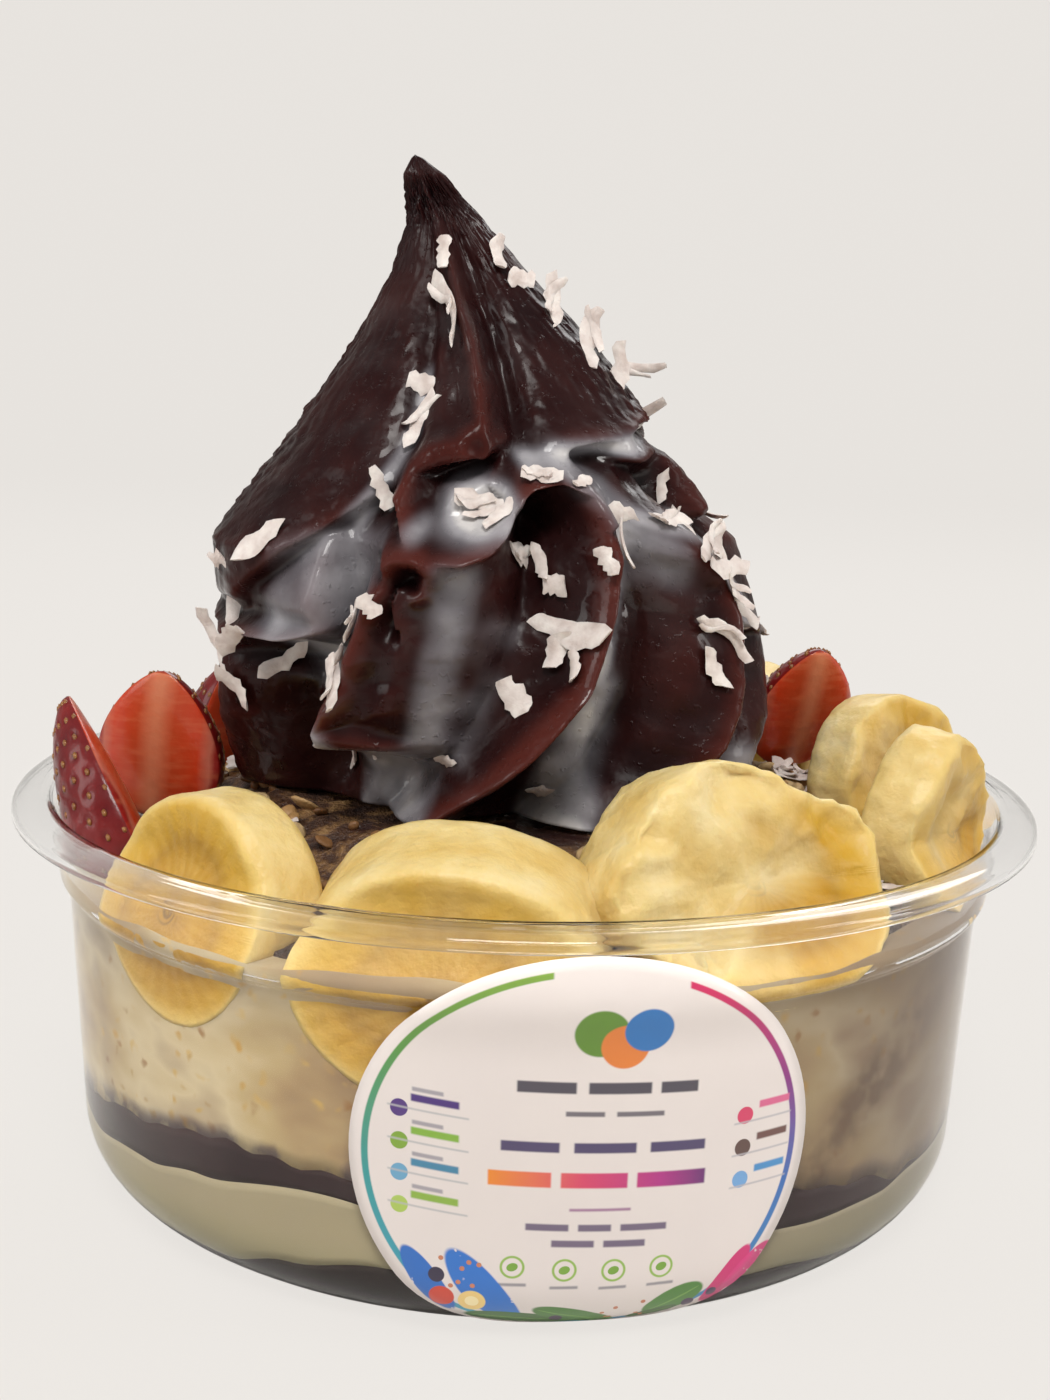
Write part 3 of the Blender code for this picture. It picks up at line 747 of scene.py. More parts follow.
def scatter_tree(name, chips, look):
    """Scatter turned and sized copies of some chips over a surface."""
    group = bpy.data.node_groups.new(name, "GeometryNodeTree")
    face = group.interface
    face.new_socket("Geometry", in_out='INPUT', socket_type='NodeSocketGeometry')
    density = face.new_socket("Chips per square metre", in_out='INPUT', socket_type='NodeSocketFloat')
    seed = face.new_socket("Seed", in_out='INPUT', socket_type='NodeSocketInt')
    small = face.new_socket("Smallest", in_out='INPUT', socket_type='NodeSocketFloat')
    large = face.new_socket("Largest", in_out='INPUT', socket_type='NodeSocketFloat')
    face.new_socket("Geometry", in_out='OUTPUT', socket_type='NodeSocketGeometry')

    def put(kind, **settings):
        made = group.nodes.new(kind)
        for key, value in settings.items():
            setattr(made, key, value)
        return made

    def join(a, b):
        group.links.new(a, b)

    start, end = put("NodeGroupInput"), put("NodeGroupOutput")
    points = put("GeometryNodeDistributePointsOnFaces")
    join(start.outputs["Geometry"], points.inputs["Mesh"])
    join(start.outputs["Chips per square metre"], points.inputs["Density"])
    join(start.outputs["Seed"], points.inputs["Seed"])
    bag = put("GeometryNodeJoinGeometry")
    for chip in chips:
        held = put("GeometryNodeObjectInfo", transform_space='ORIGINAL')
        held.inputs["Object"].default_value = chip
        held.inputs["As Instance"].default_value = True
        join(held.outputs["Geometry"], bag.inputs["Geometry"])
    spread = put("GeometryNodeInstanceOnPoints")
    spread.inputs["Pick Instance"].default_value = True
    join(points.outputs["Points"], spread.inputs["Points"])
    join(bag.outputs["Geometry"], spread.inputs["Instance"])
    turn = put("FunctionNodeRandomValue", data_type='FLOAT_VECTOR')
    turn.inputs[0].default_value = (-0.9, -0.9, 0)
    turn.inputs[1].default_value = (0.9, 0.9, 6.28)
    join(turn.outputs[0], spread.inputs["Rotation"])
    size = put("FunctionNodeRandomValue", data_type='FLOAT')
    join(start.outputs["Smallest"], size.inputs[2])
    join(start.outputs["Largest"], size.inputs[3])
    join(size.outputs[1], spread.inputs["Scale"])
    shade = put("FunctionNodeRandomValue", data_type='FLOAT')
    keep = put("GeometryNodeStoreNamedAttribute", data_type='FLOAT', domain='INSTANCE')
    keep.inputs["Name"].default_value = "tint"
    join(shade.outputs[1], keep.inputs["Value"])
    join(spread.outputs["Instances"], keep.inputs["Geometry"])
    real = put("GeometryNodeRealizeInstances")
    join(keep.outputs["Geometry"], real.inputs["Geometry"])
    dress = put("GeometryNodeSetMaterial")
    dress.inputs["Material"].default_value = look
    join(real.outputs["Geometry"], dress.inputs["Geometry"])
    join(dress.outputs["Geometry"], end.inputs["Geometry"])
    return group, {"density": density.identifier, "seed": seed.identifier,
                   "small": small.identifier, "large": large.identifier}


def scatter(name, ground, group, sockets, density, seed, small, large):
    """Run a scatter tree over a surface and keep the result as a plain mesh."""
    carrier = bpy.data.objects.new(name + "_ground", ground)
    scene.collection.objects.link(carrier)
    modifier = carrier.modifiers.new("scatter", 'NODES')
    modifier.node_group = group
    for key, value in (("density", density), ("seed", seed), ("small", small), ("large", large)):
        modifier[sockets[key]] = value
    bpy.context.view_layer.update()
    done = carrier.evaluated_get(bpy.context.evaluated_depsgraph_get())
    mesh = bpy.data.meshes.new_from_object(done)
    bpy.data.objects.remove(carrier)
    mesh.name = name
    mesh.shade_smooth()
    piece = bpy.data.objects.new(name, mesh)
    scene.collection.objects.link(piece)
    return piece


ground_form = bmesh.new()
spokes = []
for i in range(GROUND_SPOKES):
    spoke = []
    for reach in GROUND_REACHES:
        x, y, z = round_point(reach, 2 * pi * i / GROUND_SPOKES, 0)
        spoke.append(ground_form.verts.new((x * MM, y * MM, (heap_height(x, y) + 0.3) * MM)))
    spokes.append(spoke)
for here, there in zip(spokes, spokes[1:] + spokes[:1]):
    for j in range(len(GROUND_REACHES) - 1):
        ground_form.faces.new((here[j], here[j + 1], there[j + 1], there[j]))
ground = bpy.data.meshes.new("granola_ground")
ground_form.to_mesh(ground)
ground_form.free()
flakes = [flake_form("oat_a", 5.0, 3.6, 1.1, 1), flake_form("oat_b", 3.6, 3.0, 1.6, 2),
          flake_form("oat_c", 2.6, 2.2, 1.9, 3)]
oat_tree, oat_sockets = scatter_tree("scatter oats", flakes, toasted)
oats = scatter("loose_oats", ground, oat_tree, oat_sockets, OATS_PER_METRE, OAT_SEED,
               OAT_SMALLEST, OAT_LARGEST)
for flake in flakes:
    bpy.data.objects.remove(flake)
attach(oats, "root")

# ---------------------------------------------------------------- swirl
# Soft frozen puree piped through a star nozzle in two coils. Each fold is a ridge that runs
# down the swirl, each coil ends in a drooping lip, and the tip is drawn up and curls over.

SWIRL_FOOT, TIP = 57.3, 146.2
TAPER_HEIGHTS = (57, 69, 77, 85, 95, 100, 105, 111, 122, 131, 137, 141, 144, 146.2)
TAPER_MIDDLE = (-5.0, -5.0, -5.6, -6.2, -8.0, -8.0, -7.6, -8.0, -8.8, -11.2, -13.2, -14.8, -15.6,
                -16.4)
TAPER_RADIUS = (37.5, 41.0, 41.2, 40.0, 38.6, 35.0, 31.5, 26.5, 17.6, 10.0, 6.0, 4.0, 2.9, 0.9)
FOLD_DEPTH, DEEPER_BELOW, DEEPER_BY = 0.20, 105, 0.0016
LEVELS, FRONT_COLUMNS, BACK_COLUMNS, FRONT_REACH = 240, 280, 120, 100
MILK_THICK, RAGGED_DEPTH = 0.45, 0.35
TIP_BEND = (-1.2, -1.5)

# lower edge of the upper coil, as (bearing, height); bearing 0 is the front, + to the right
HEM = ((-180, 97), (-130, 88), (-90, 84), (-62, 87), (-37, 96), (-24, 101.5), (-14, 104.5),
       (0, 107), (12, 106), (18, 105.5), (40, 109), (60, 111.5), (90, 112), (130, 106), (180, 97))

# ridges that run down: name, (height, bearing) of the crest, left and right width in degrees,
# left and right roundness (1 is straight, 2 is round, under 1 is hollow), and size
UPPER_RIDGES = (
    ("front lip", ((104, -3), (109, 4), (116, 3), (124, 0), (131, -4), (138, -10), (146, -14)), 26,
     9, 1.0, 0.8, 1.0),
    ("left facet", ((84, -62), (120, -66), (146, -70)), 44, 46, 2.4, 1.8, 1.04),
    ("right facet", ((100, 58), (120, 64), (146, 70)), 48, 46, 1.5, 2.2, 1.02),
    ("back right", ((90, 122), (146, 130)), 34, 30, 1.6, 1.6, 1.0),
    ("back", ((90, 172), (146, 180)), 32, 32, 1.6, 1.6, 1.0),
    ("back left", ((90, -132), (146, -126)), 34, 34, 1.6, 1.6, 1.0),
)
LOWER_RIDGES = (
    ("front petal", ((56, -16), (64, 0), (71, 10), (78, 20), (88, 27), (95, 31), (101, 31)), 19, 7,
     0.85, 0.7, 1.06),
    ("right petal", ((56, 26), (64, 44), (73, 55), (86, 61), (96, 57), (102, 50)), 20, 9, 2.0, 1.3,
     1.03),
    ("left petal", ((69, -36), (74, -33), (81, -28), (90, -21), (95, -17)), 6, 36, 1.0, 1.5, 0.97),
    ("far right", ((56, 68), (75, 92), (95, 96)), 18, 22, 1.6, 1.6, 0.98),
    ("far left", ((56, -80), (70, -72), (92, -60)), 22, 20, 1.6, 1.4, 1.0),
    ("left side", ((56, -118), (90, -100)), 22, 22, 1.6, 1.6, 1.02),
    ("behind right", ((56, 112), (80, 132), (100, 138)), 22, 22, 1.6, 1.3, 1.0),
    ("behind", ((56, 150), (80, 170), (100, 176)), 22, 22, 1.6, 1.3, 1.0),
    ("behind left", ((56, 188), (80, 208), (100, 214)), 24, 22, 1.6, 1.3, 1.0),
)
# lips that run round: name, (bearing, height) of the crest, reach above and below in mm,
# roundness above and below, and size
LOWER_LIPS = (
    ("cup rim", ((-18, 102), (-15, 98), (-10, 95.8), (-2, 94.4), (5, 95.8), (9, 98), (12, 100.5)),
     10, 3.0, 0.75, 0.8, 0.92),
    ("petal arch", ((8, 97), (11, 100.5), (15, 103), (22, 104.4), (28, 103), (32, 99)), 7, 2.6, 1.2,
     0.7, 1.0),
    ("left coil edge", ((-112, 86), (-90, 83), (-62, 82), (-44, 82.5), (-36, 84)), 14, 3.0, 1.8,
     0.8, 1.0),
    ("back coil edge", ((70, 84), (110, 78), (180, 70)), 14, 3.0, 1.8, 0.8, 0.98),
)
# small knobs and hollows: name, bearing, height, half width in degrees and in mm, size
KNOBS = (
    ("right knob", 52, 108.6, 13, 3.6, 0.95), ("right shoulder", 74, 101.5, 9, 4.5, 1.0),
    ("left curl", -17, 93.2, 5.5, 3.6, 0.98), ("petal top", 22, 101, 10, 3.0, 0.3),
)
HOLLOWS = (
    ("petal mouth", 18, 98.0, 8.5, 5.0, 0.20), ("petal throat", 14, 88.0, 8.0, 9.0, 0.09),
    ("curl mouth", -19.5, 92.6, 1.8, 1.9, 0.12), ("under right knob", 50, 102.5, 12, 2.2, 0.09),
    ("under left coil", -45, 78.5, 17, 2.2, 0.10), ("by right petal", 33, 66, 9, 7, 0.05),
    ("left pool bed", -27, 62.5, 13, 5, 0.11), ("petal foot", 12, 58, 14, 4, 0.10),
    ("left foot", -50, 64, 7, 5, 0.09),
)


def smooth_step(value):
    value = np.clip(value, 0, 1)
    return value * value * (3 - 2 * value)


def apart(bearings, crest):
    return (bearings - crest + 180) % 360 - 180


def between(values, first, last, before, after):
    """1 from the first value to the last, fading to 0 before and after them."""
    rising = smooth_step((values - first + before) / before)
    return rising * smooth_step((last + after - values) / after)


def ridge_form(bearings, heights, crest, left, right, left_round, right_round, fade=5.0):
    """1 on a running-down ridge's crest, 0 past its sides."""
    zs, bs = zip(*crest)
    away = apart(bearings, np.interp(heights, zs, bs))
    side = np.where(away < 0, -away / left, away / right)
    form = np.clip(1 - side ** np.where(away < 0, left_round, right_round), 0, None)
    return form * between(heights, zs[0], zs[-1], fade, fade)


def lip_form(bearings, heights, crest, above, below, above_round, below_round, fade=5.0):
    """1 on a running-round lip's crest, 0 past its sides."""
    bs, zs = zip(*crest)
    away = heights - np.interp(bearings, bs, zs)
    side = np.where(away > 0, away / above, -away / below)
    form = np.clip(1 - side ** np.where(away > 0, above_round, below_round), 0, None)
    return form * between(bearings, bs[0], bs[-1], fade, fade)


def spot_form(bearings, heights, bearing, height, wide, tall):
    """1 at a spot, falling off in a bell round it."""
    return np.exp(-(apart(bearings, bearing) / wide) ** 2 - ((heights - height) / tall) ** 2)


def swirl_share(bearings, heights):
    """How far out the surface is, as a share of the taper's radius."""
    hem = np.interp(bearings, *zip(*HEM))
    over = smooth_step((heights - hem + 0.8) / 1.6)
    upper, lower = np.zeros_like(bearings), np.zeros_like(bearings)
    for name, *ridge, size in UPPER_RIDGES:
        upper = np.maximum(upper, size * ridge_form(bearings, heights, *ridge))
    for name, *ridge, size in LOWER_RIDGES:
        lower = np.maximum(lower, size * ridge_form(bearings, heights, *ridge))
    for name, *lip, size in LOWER_LIPS:
        lower = np.maximum(lower, size * lip_form(bearings, heights, *lip))
    for name, *spot, size in KNOBS:
        lower = np.maximum(lower, size * spot_form(bearings, heights, *spot))
    depth = np.where(heights > DEEPER_BELOW, FOLD_DEPTH,
                     FOLD_DEPTH + DEEPER_BY * (DEEPER_BELOW - heights))
    share = 1 - depth * (1 - (upper * over + lower * (1 - over)))
    for name, *spot, size in HOLLOWS:
        share -= size * spot_form(bearings, heights, *spot)
    return share


def soften(values, passes):
    """Even out a grid a little, round the swirl and up it."""
    for _ in range(passes):
        values = (np.roll(values, 1, 1) + 2 * values + np.roll(values, -1, 1)) / 4
        inner = (values[:-2] + 2 * values[1:-1] + values[2:]) / 4
        values = np.vstack([values[:1], inner, values[-1:]])
    return values


bearing_line = np.concatenate([
    np.linspace(-FRONT_REACH, FRONT_REACH, FRONT_COLUMNS, endpoint=False),
    np.linspace(FRONT_REACH, 360 - FRONT_REACH, BACK_COLUMNS, endpoint=False)])
columns = len(bearing_line)
height_line = SWIRL_FOOT + (TIP - SWIRL_FOOT) * np.linspace(0, 1, LEVELS)
grid_bearings, grid_heights = np.meshgrid((bearing_line + 180) % 360 - 180, height_line)
share = soften(swirl_share(grid_bearings, grid_heights), 2)
taper = np.interp(grid_heights, TAPER_HEIGHTS, TAPER_RADIUS)

# rolled edges of the folds: name, (bearing, height) along the edge, half width, lift and
# depth of the hollow beside it in mm, and the hollow's side
ROLLED = (
    ("drawn edge", ((-8, 141), (-6.4, 133.5), (-4, 126), (0.5, 118.8), (1.5, 112.4), (-4.4, 108.9)),
     1.3, 0.9, 0.9, -1),
    ("cup edge", ((1.5, 112.4), (-4.4, 108.9), (-12.5, 107.5), (-17.8, 105.2), (-16.9, 100.8),
     (-12.7, 96.7),
                  (-8.1, 94.7), (-2.1, 94.5), (6.1, 96.5), (11.8, 98.9), (14, 101.6)), 1.7, 1.5,
                   2.4, 1),
    ("petal edge", ((11.8, 98.9), (13.2, 101.3), (21, 103.4), (28, 103.2), (32, 101), (33.4, 98.0),
     (31.3, 92), (27, 84.9),
                    (21.4, 77.8), (12.2, 72.6), (4.2, 67.2), (-3, 61.8)), 1.8, 1.5, 2.2, -1),
    ("curl edge", ((-24, 86.5), (-20.9, 88.5), (-18.3, 90.9), (-17.2, 93.5), (-14.3, 95.1),
     (-10.1, 95), (-8.4, 93.1),
                   (-10, 90.5), (-14, 89.4)), 1.2, 1.6, 2.6, -1),
    ("left petal edge", ((-20.9, 88.5), (-23.7, 85.5), (-26.5, 78.8), (-29.6, 75.3), (-34.5, 70.8),
     (-28, 69.6),
                         (-21.4, 68.4), (-14, 66.4)), 1.4, 0.8, 1.0, 1),
    ("right petal edge", ((41.6, 96.7), (50.5, 95.7), (59.5, 91.9), (60.2, 84.3), (56.4, 76.4),
     (50.5, 69.3),
                          (44.8, 64.7), (36, 60)), 1.8, 0.9, 1.0, -1),
    ("right facet edge", ((80, 114.2), (51.4, 111.1), (31.6, 109.4), (17.5, 107.5)), 1.5, 0.9, 1.6,
     1),
    ("right shoulder", ((40, 105.6), (50, 107.6), (60, 108.2), (68, 106), (80, 103.5)), 1.8, 1.3,
     1.2, -1),
    ("left hem", ((-80, 82.5), (-64, 82.0), (-49.6, 82.2), (-38, 82.0), (-31.9, 81.7)), 1.3, 0.8,
     2.2, 1),
    ("left valley", ((-36, 134), (-28.8, 125.9), (-21.1, 115.9), (-22.1, 108.9), (-26, 102)), 2.4,
     -1.2, 0, 1),
    ("middle valley", ((9, 137), (10.4, 134.9), (11.1, 128.1), (11.4, 120.2), (14.4, 112.5),
     (14.7, 108)), 2.0, -1.5, 0, 1),
)


def rolled_edge(points, half, lift, hollow, side):
    """A rounded bead along an edge, with a hollow on one side of it, in mm."""
    across, up = np.radians(grid_bearings) * taper, grid_heights
    bs, zs = (np.array(v, dtype=float) for v in zip(*points))
    us = np.radians(bs) * np.interp(zs, TAPER_HEIGHTS, TAPER_RADIUS)
    nearest, signed = np.full(across.shape, 99.0), np.zeros(across.shape)
    ends = np.ones(across.shape)
    total = len(us) - 1
    for k, (u0, z0, u1, z1) in enumerate(zip(us, zs, us[1:], zs[1:])):
        du, dz = u1 - u0, z1 - z0
        t = np.clip(((across - u0) * du + (up - z0) * dz) / (du * du + dz * dz), 0, 1)
        gap_u, gap_z = across - u0 - t * du, up - z0 - t * dz
        gap = np.hypot(gap_u, gap_z)
        closer = gap < nearest
        nearest = np.where(closer, gap, nearest)
        signed = np.where(closer, np.sign(du * gap_z - dz * gap_u), signed)
        run = (k + t) / total
        ends = np.where(closer, smooth_step(np.minimum(run, 1 - run) * total / 1.2 + 0.15), ends)
    bead = lift * np.exp(-(nearest / half) ** 2)
    hole = hollow * np.exp(-((nearest - 2.3 * half) / (1.5 * half)) ** 2) * (signed == side)
    return (bead - hole) * ends


edges = np.zeros_like(share)
for name, *edge in ROLLED:
    edges = edges + rolled_edge(*edge)
grain = np.random.default_rng(5).normal(size=share.shape)
torn = (spot_form(grid_bearings, grid_heights, -84, 108, 16, 22)
        + spot_form(grid_bearings, grid_heights, 72, 112, 12, 12)
        + 1.6 * spot_form(grid_bearings, grid_heights, -14, 142, 140, 4))
ragged = soften(grain, 1) * 1.3 * torn + soften(grain, 5) * 0.9

# condensed milk that runs down: name, (height, bearing), half width in degrees, and size
STREAMS = (
    ("down the front", ((57, -19), (66.9, -14.4), (73.2, -10.8), (79.8, -8.4), (86.2, -5.9),
     (92.6, -2.5)), 5.5, 0.46),
    ("front veil", ((66, -8), (76, -2), (84, 3)), 7.0, 0.22),
    ("beside the petal", ((56, 21), (63.5, 23), (70.6, 25), (77.2, 28), (83.6, 31), (89.9, 35),
     (97.4, 38)), 5.0, 0.85),
    ("petal foot", ((56, 15), (61, 18), (68, 23), (76, 27)), 9.0, 0.78),
    ("far right", ((68, 66), (76, 64), (82.3, 69), (88, 72), (94, 72)), 4.5, 0.8),
    ("left groove", ((94, -32), (99.2, -29.7), (103.7, -25), (108.9, -22.1), (116, -21.5)), 3.0,
     0.62),
    ("left side", ((64, -34), (68, -36), (73.6, -41), (77.8, -46), (81, -50)), 6.5, 0.85),
    ("left sheet", ((83.5, -42), (88, -37), (92, -34), (95, -33)), 15.0, 0.50),
    ("left pool", ((57, -28), (62, -27), (66, -26)), 15.0, 0.80),
    ("across right", ((57, 70), (64, 72)), 8.0, 0.6),
    ("right veil", ((92, 44), (98, 42), (101, 36), (107, 24)), 8.0, 0.42),
)
# milk that lies across a fold, as (bearing, height) with a half width in mm, and size
ACROSS = (
    ("under the right facet", ((14, 106.2), (18, 106.4), (31.6, 107.9), (51, 109.6), (60, 110.6)),
     1.7, 0.8),
    ("under the shoulder", ((34, 99.6), (42, 99.4), (52, 99.0), (62, 97.5)), 1.8, 0.7),
)
# pools, in the same terms as the knobs
POOLS = (("in the cup", 2, 100.2, 10.5, 3.8, 1.3), ("cup corner", -12, 98.5, 3.0, 1.6, 0.5))

milk = np.zeros_like(share)
for name, crest, half, size in STREAMS:
    zs, bs = zip(*crest)
    away = np.abs(apart(grid_bearings, np.interp(grid_heights, zs, bs))) / half
    here = np.clip(1 - away ** 2, 0, 1) * between(grid_heights, zs[0], zs[-1], 4, 3)
    milk = np.maximum(milk, here * size)
for name, crest, half, size in ACROSS:
    bs, zs = zip(*crest)
    away = np.abs(grid_heights - np.interp(grid_bearings, bs, zs)) / half
    here = np.clip(1 - away ** 2, 0, 1) * between(grid_bearings, bs[0], bs[-1], 4, 4)
    milk = np.maximum(milk, here * size)
for name, *spot, size in POOLS:
    here = np.clip(1.6 * spot_form(grid_bearings, grid_heights, *spot) - 0.3, 0, 1)
    milk = np.maximum(milk, size * here)
lively = soften(np.random.default_rng(8).normal(size=milk.shape), 26)
milk = milk + (milk > 0.04) * lively / lively.std() * 0.10
milk = soften(np.clip(milk, 0, 1), 2)

radius = (taper * share + edges * smooth_step((taper - 2) / 8)
          + ragged * RAGGED_DEPTH * smooth_step((taper - 1) / 5) + MILK_THICK * milk)
middle = np.interp(grid_heights, TAPER_HEIGHTS, TAPER_MIDDLE)
turn = np.radians(grid_bearings)
# the parts that stand out sag a little, most at the coils' lips
sag = np.interp(grid_heights, (57, 70, 110, 135), (0, 1.2, 2.0, 0))
droop = np.clip((share - 0.86) / 0.14, 0, 1.4) * sag
xs = middle + radius * np.sin(turn)
ys = -radius * np.cos(turn)
zs = grid_heights - droop
# the tip bends over to the left and forward
bend = smooth_step((grid_heights - 138) / 8)
xs = xs + TIP_BEND[0] * bend
ys = ys + TIP_BEND[1] * bend
rings = [[(TAPER_MIDDLE[0], 0, SWIRL_FOOT)]]
for level in range(LEVELS):
    rings.append(list(zip(xs[level], ys[level], zs[level])))
rings.append([(xs[-1].mean() - 0.4, ys[-1].mean(), TIP + 0.5)])
swirl = skin_rings("acai_swirl", rings)


def lay_values(piece, name, grid):
    """Store a grid of values on the swirl's points, between its two poles."""
    kept = piece.data.attributes.new(name, 'FLOAT', 'POINT')
    values = np.zeros(len(piece.data.vertices), dtype=np.float32)
    values[1:-1] = grid.ravel()
    values[-1] = grid[-1].mean()
    kept.data.foreach_set("value", values)


around_mean = soften(radius, 40)
lay_values(swirl, "milk", milk)
# painted light: where the surface stands out, the crests are painted a lighter red-brown; painted
# shade: where it sinks, the valleys are painted darker
lay_values(swirl, "crest", np.clip((radius - around_mean) * 0.55, 0, 1))
lay_values(swirl, "valley", np.clip((around_mean - radius) * 0.6, 0, 1))

acai, tree, shader = shader_tree("frozen acai puree")
where = place_on(tree)
cloud = noise(tree, 60, 4, where)
tone = ramp(tree, cloud, (0.30, (0.009, 0.0025, 0.003)), (0.52, (0.019, 0.0045, 0.0045)),
            (0.75, (0.034, 0.010, 0.009)))
# painted light on the crests, then painted shade in the valleys
tone = blend_colour(tree, times(tree, stored(tree, "crest"), 0.8), tone, (0.085, 0.017, 0.012))
tone = blend_colour(tree, times(tree, stored(tree, "valley"), 0.6), tone, (0.005, 0.002, 0.002))
milk_share = stored(tree, "milk")
wisps = rise(tree, noise(tree, 130, 4, where), 0.3, 0.7, 0.75, 1.15)
milky = times(tree, milk_share, wisps, True)
cover = ramp(tree, milky, (0.0, (0,)), (0.28, (0.34,)), (0.62, (0.78,)), (1.0, (0.97,)))
milk_tone = ramp(tree, milky, (0.35, (0.24, 0.235, 0.26)), (0.75, (0.40, 0.39, 0.41)),
                 (1.0, (0.62, 0.60, 0.59)))
tone = blend_colour(tree, cover, tone, milk_tone)
tree.links.new(tone, shader.inputs["Base Color"])
gloss = ramp(tree, noise(tree, 90, 3, where), (0.35, (0.22,)), (0.65, (0.42,)))
tree.links.new(gloss, shader.inputs["Roughness"])
set_finish(shader, Specular_IOR_Level=0.12)
wet = ramp(tree, noise(tree, 75, 3, where), (0.50, (0.0,)), (0.62, (0.45,)))
wet = number(tree, "MAXIMUM", wet, times(tree, milk_share, 0.6))
tree.links.new(wet, shader.inputs["Coat Weight"])
set_finish(shader, Coat_Roughness=0.05)
ice = noise(tree, 900, 2, where)
broad = noise(tree, 160, 3, where)
soft = raise_surface(tree, shader, broad, 0.0014, 0.5)
raise_surface(tree, shader, ramp(tree, ice, (0.62, (0,)), (0.74, (1,))), 0.0004, 0.35, soft)
swirl.data.materials.append(acai)
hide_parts("swirl")
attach(swirl, "root")


def on_swirl(bearing, height):
    """Place and outward direction on the finished swirl's surface."""
    column = int(np.argmin(np.abs(apart(bearing_line, bearing))))
    level = round((height - SWIRL_FOOT) / (TIP - SWIRL_FOOT) * (LEVELS - 1))
    level = int(np.clip(level, 2, LEVELS - 3))

    def point(level, column):
        return Vector((xs[level, column], ys[level, column], zs[level, column]))

    across = point(level, (column + 2) % columns) - point(level, column - 2)
    up = point(level + 2, column) - point(level - 2, column)
    return point(level, column), across.cross(up).normalized(), up.normalized()


# ---------------------------------------------------------------- bananas
# Thick slices of ripe banana stood against the wall: yellow flesh with a darker three-part
# heart on the cut faces, and a pale fibrous side where the peel came off.

WALL_GAP, PRESSED_BELOW = 0.08, 56
# name, bearing, face radius, height, width, tall, thick, lean, turn, torn
BANANAS = (
    ("banana_front_left", -132.0, 63.2, 49.8, 31.0, 30.0, 10.0, 2, 0, 0.05),
    ("banana_front", -98.0, 61.8, 47.6, 39.0, 31.0, 15.0, -14, 0, 0.2),
    ("banana_front_right", -61.0, 60.6, 54.6, 41.0, 30.0, 15.0, 18, 0, 1.0),
    ("banana_right", -20.0, 64.2, 56.4, 26.0, 28.0, 9.0, -6, -16, 0.6),
    ("banana_right_back", 4.0, 59.5, 57.6, 30.0, 26.0, 9.0, 10, -50, 0.5),
    ("banana_back_right", 46.0, 61.5, 54.0, 31.0, 28.0, 11.0, 10, 0, 0.4),
    ("banana_back_left", 128.0, 61.5, 53.0, 33.0, 28.0, 11.0, 10, 0, 0.3),
)


def stand_matrix(bearing, radius, height, lean, roll, turn):
    """Face a piece outward at a bearing, lean its top inward, roll it and turn it."""
    spin = Matrix.Rotation(radians(bearing + 90), 4, 'Z')
    tip = Matrix.Rotation(radians(-lean), 4, 'X') @ Matrix.Rotation(radians(roll), 4, 'Y')
    place = Vector((radius * cos(radians(bearing)), radius * sin(radians(bearing)), height)) * MM
    return Matrix.Translation(place) @ spin @ tip @ Matrix.Rotation(radians(turn), 4, 'Z')


def press_on_wall(piece, reach, pressed):
    """Flatten a piece's outer points against the inside of the wall, below the rim."""
    for i, v in enumerate(piece.data.vertices):
        x, y, z = v.co / MM
        r = hypot(x, y)
        gap = wall_at(z, WALL_GAP) - r
        if gap > reach or z > PRESSED_BELOW or not pressed[i]:
            continue
        hold = min(max((PRESSED_BELOW - z) / 10, 0), 1) * pressed[i] if gap > 0 else 1.0
        grown = (r + gap * hold) / r
        v.co.x, v.co.y = x * grown * MM, y * grown * MM


flesh, tree, shader = shader_tree("banana flesh")
cut = stored(tree, "slice", "Vector")
split = add_node(tree, "SeparateXYZ", Vector=cut)
from_heart, angle, on_face = split.outputs["X"], split.outputs["Y"], split.outputs["Z"]
ripple = times(tree, number(tree, "SINE", times(tree, angle, 3.0)), 0.05)
heart = plus(tree, from_heart, ripple)
heart = plus(tree, heart, times(tree, noise(tree, 240, 3), 0.08))
face_tone = ramp(tree, heart, (0.05, (0.20, 0.095, 0.012)), (0.13, (0.40, 0.20, 0.018)),
                 (0.34, (0.50, 0.265, 0.018)), (0.50, (0.46, 0.235, 0.012)),
                 (0.58, (0.40, 0.205, 0.012)), (0.70, (0.54, 0.295, 0.018)),
                 (0.88, (0.60, 0.35, 0.035)), (1.0, (0.74, 0.52, 0.15)))
spokes = number(tree, "SINE", times(tree, angle, 26.0))
spokes = times(tree, plus(tree, times(tree, spokes, 0.5), 0.5), 0.10)
face_tone = blend_colour(tree, spokes, face_tone, (0.78, 0.55, 0.20))
side_tone = ramp(tree, noise(tree, 130, 4), (0.30, (0.68, 0.47, 0.15)), (0.52, (0.77, 0.59, 0.25)),
                 (0.72, (0.82, 0.68, 0.37)))
tone = blend_colour(tree, on_face, side_tone, face_tone)
tree.links.new(tone, shader.inputs["Base Color"])
set_finish(shader, Roughness=0.42, Specular_IOR_Level=0.32, Subsurface_Weight=0.18,
           Subsurface_Radius=(1.0, 0.7, 0.35), Subsurface_Scale=0.003)
fibre = noise(tree, 330, 4)
raise_surface(tree, shader, fibre, 0.0012, 0.5)


# a torn slice stands up to a blunt peak and is broken away beside it: turn, spread, size
TEARS = ((1.80, 0.42, 0.10), (0.95, 0.36, -0.13), (2.6, 0.35, -0.08))
FACE_RINGS = (0.0, 0.12, 0.25, 0.38, 0.5, 0.62, 0.73, 0.82, 0.89)


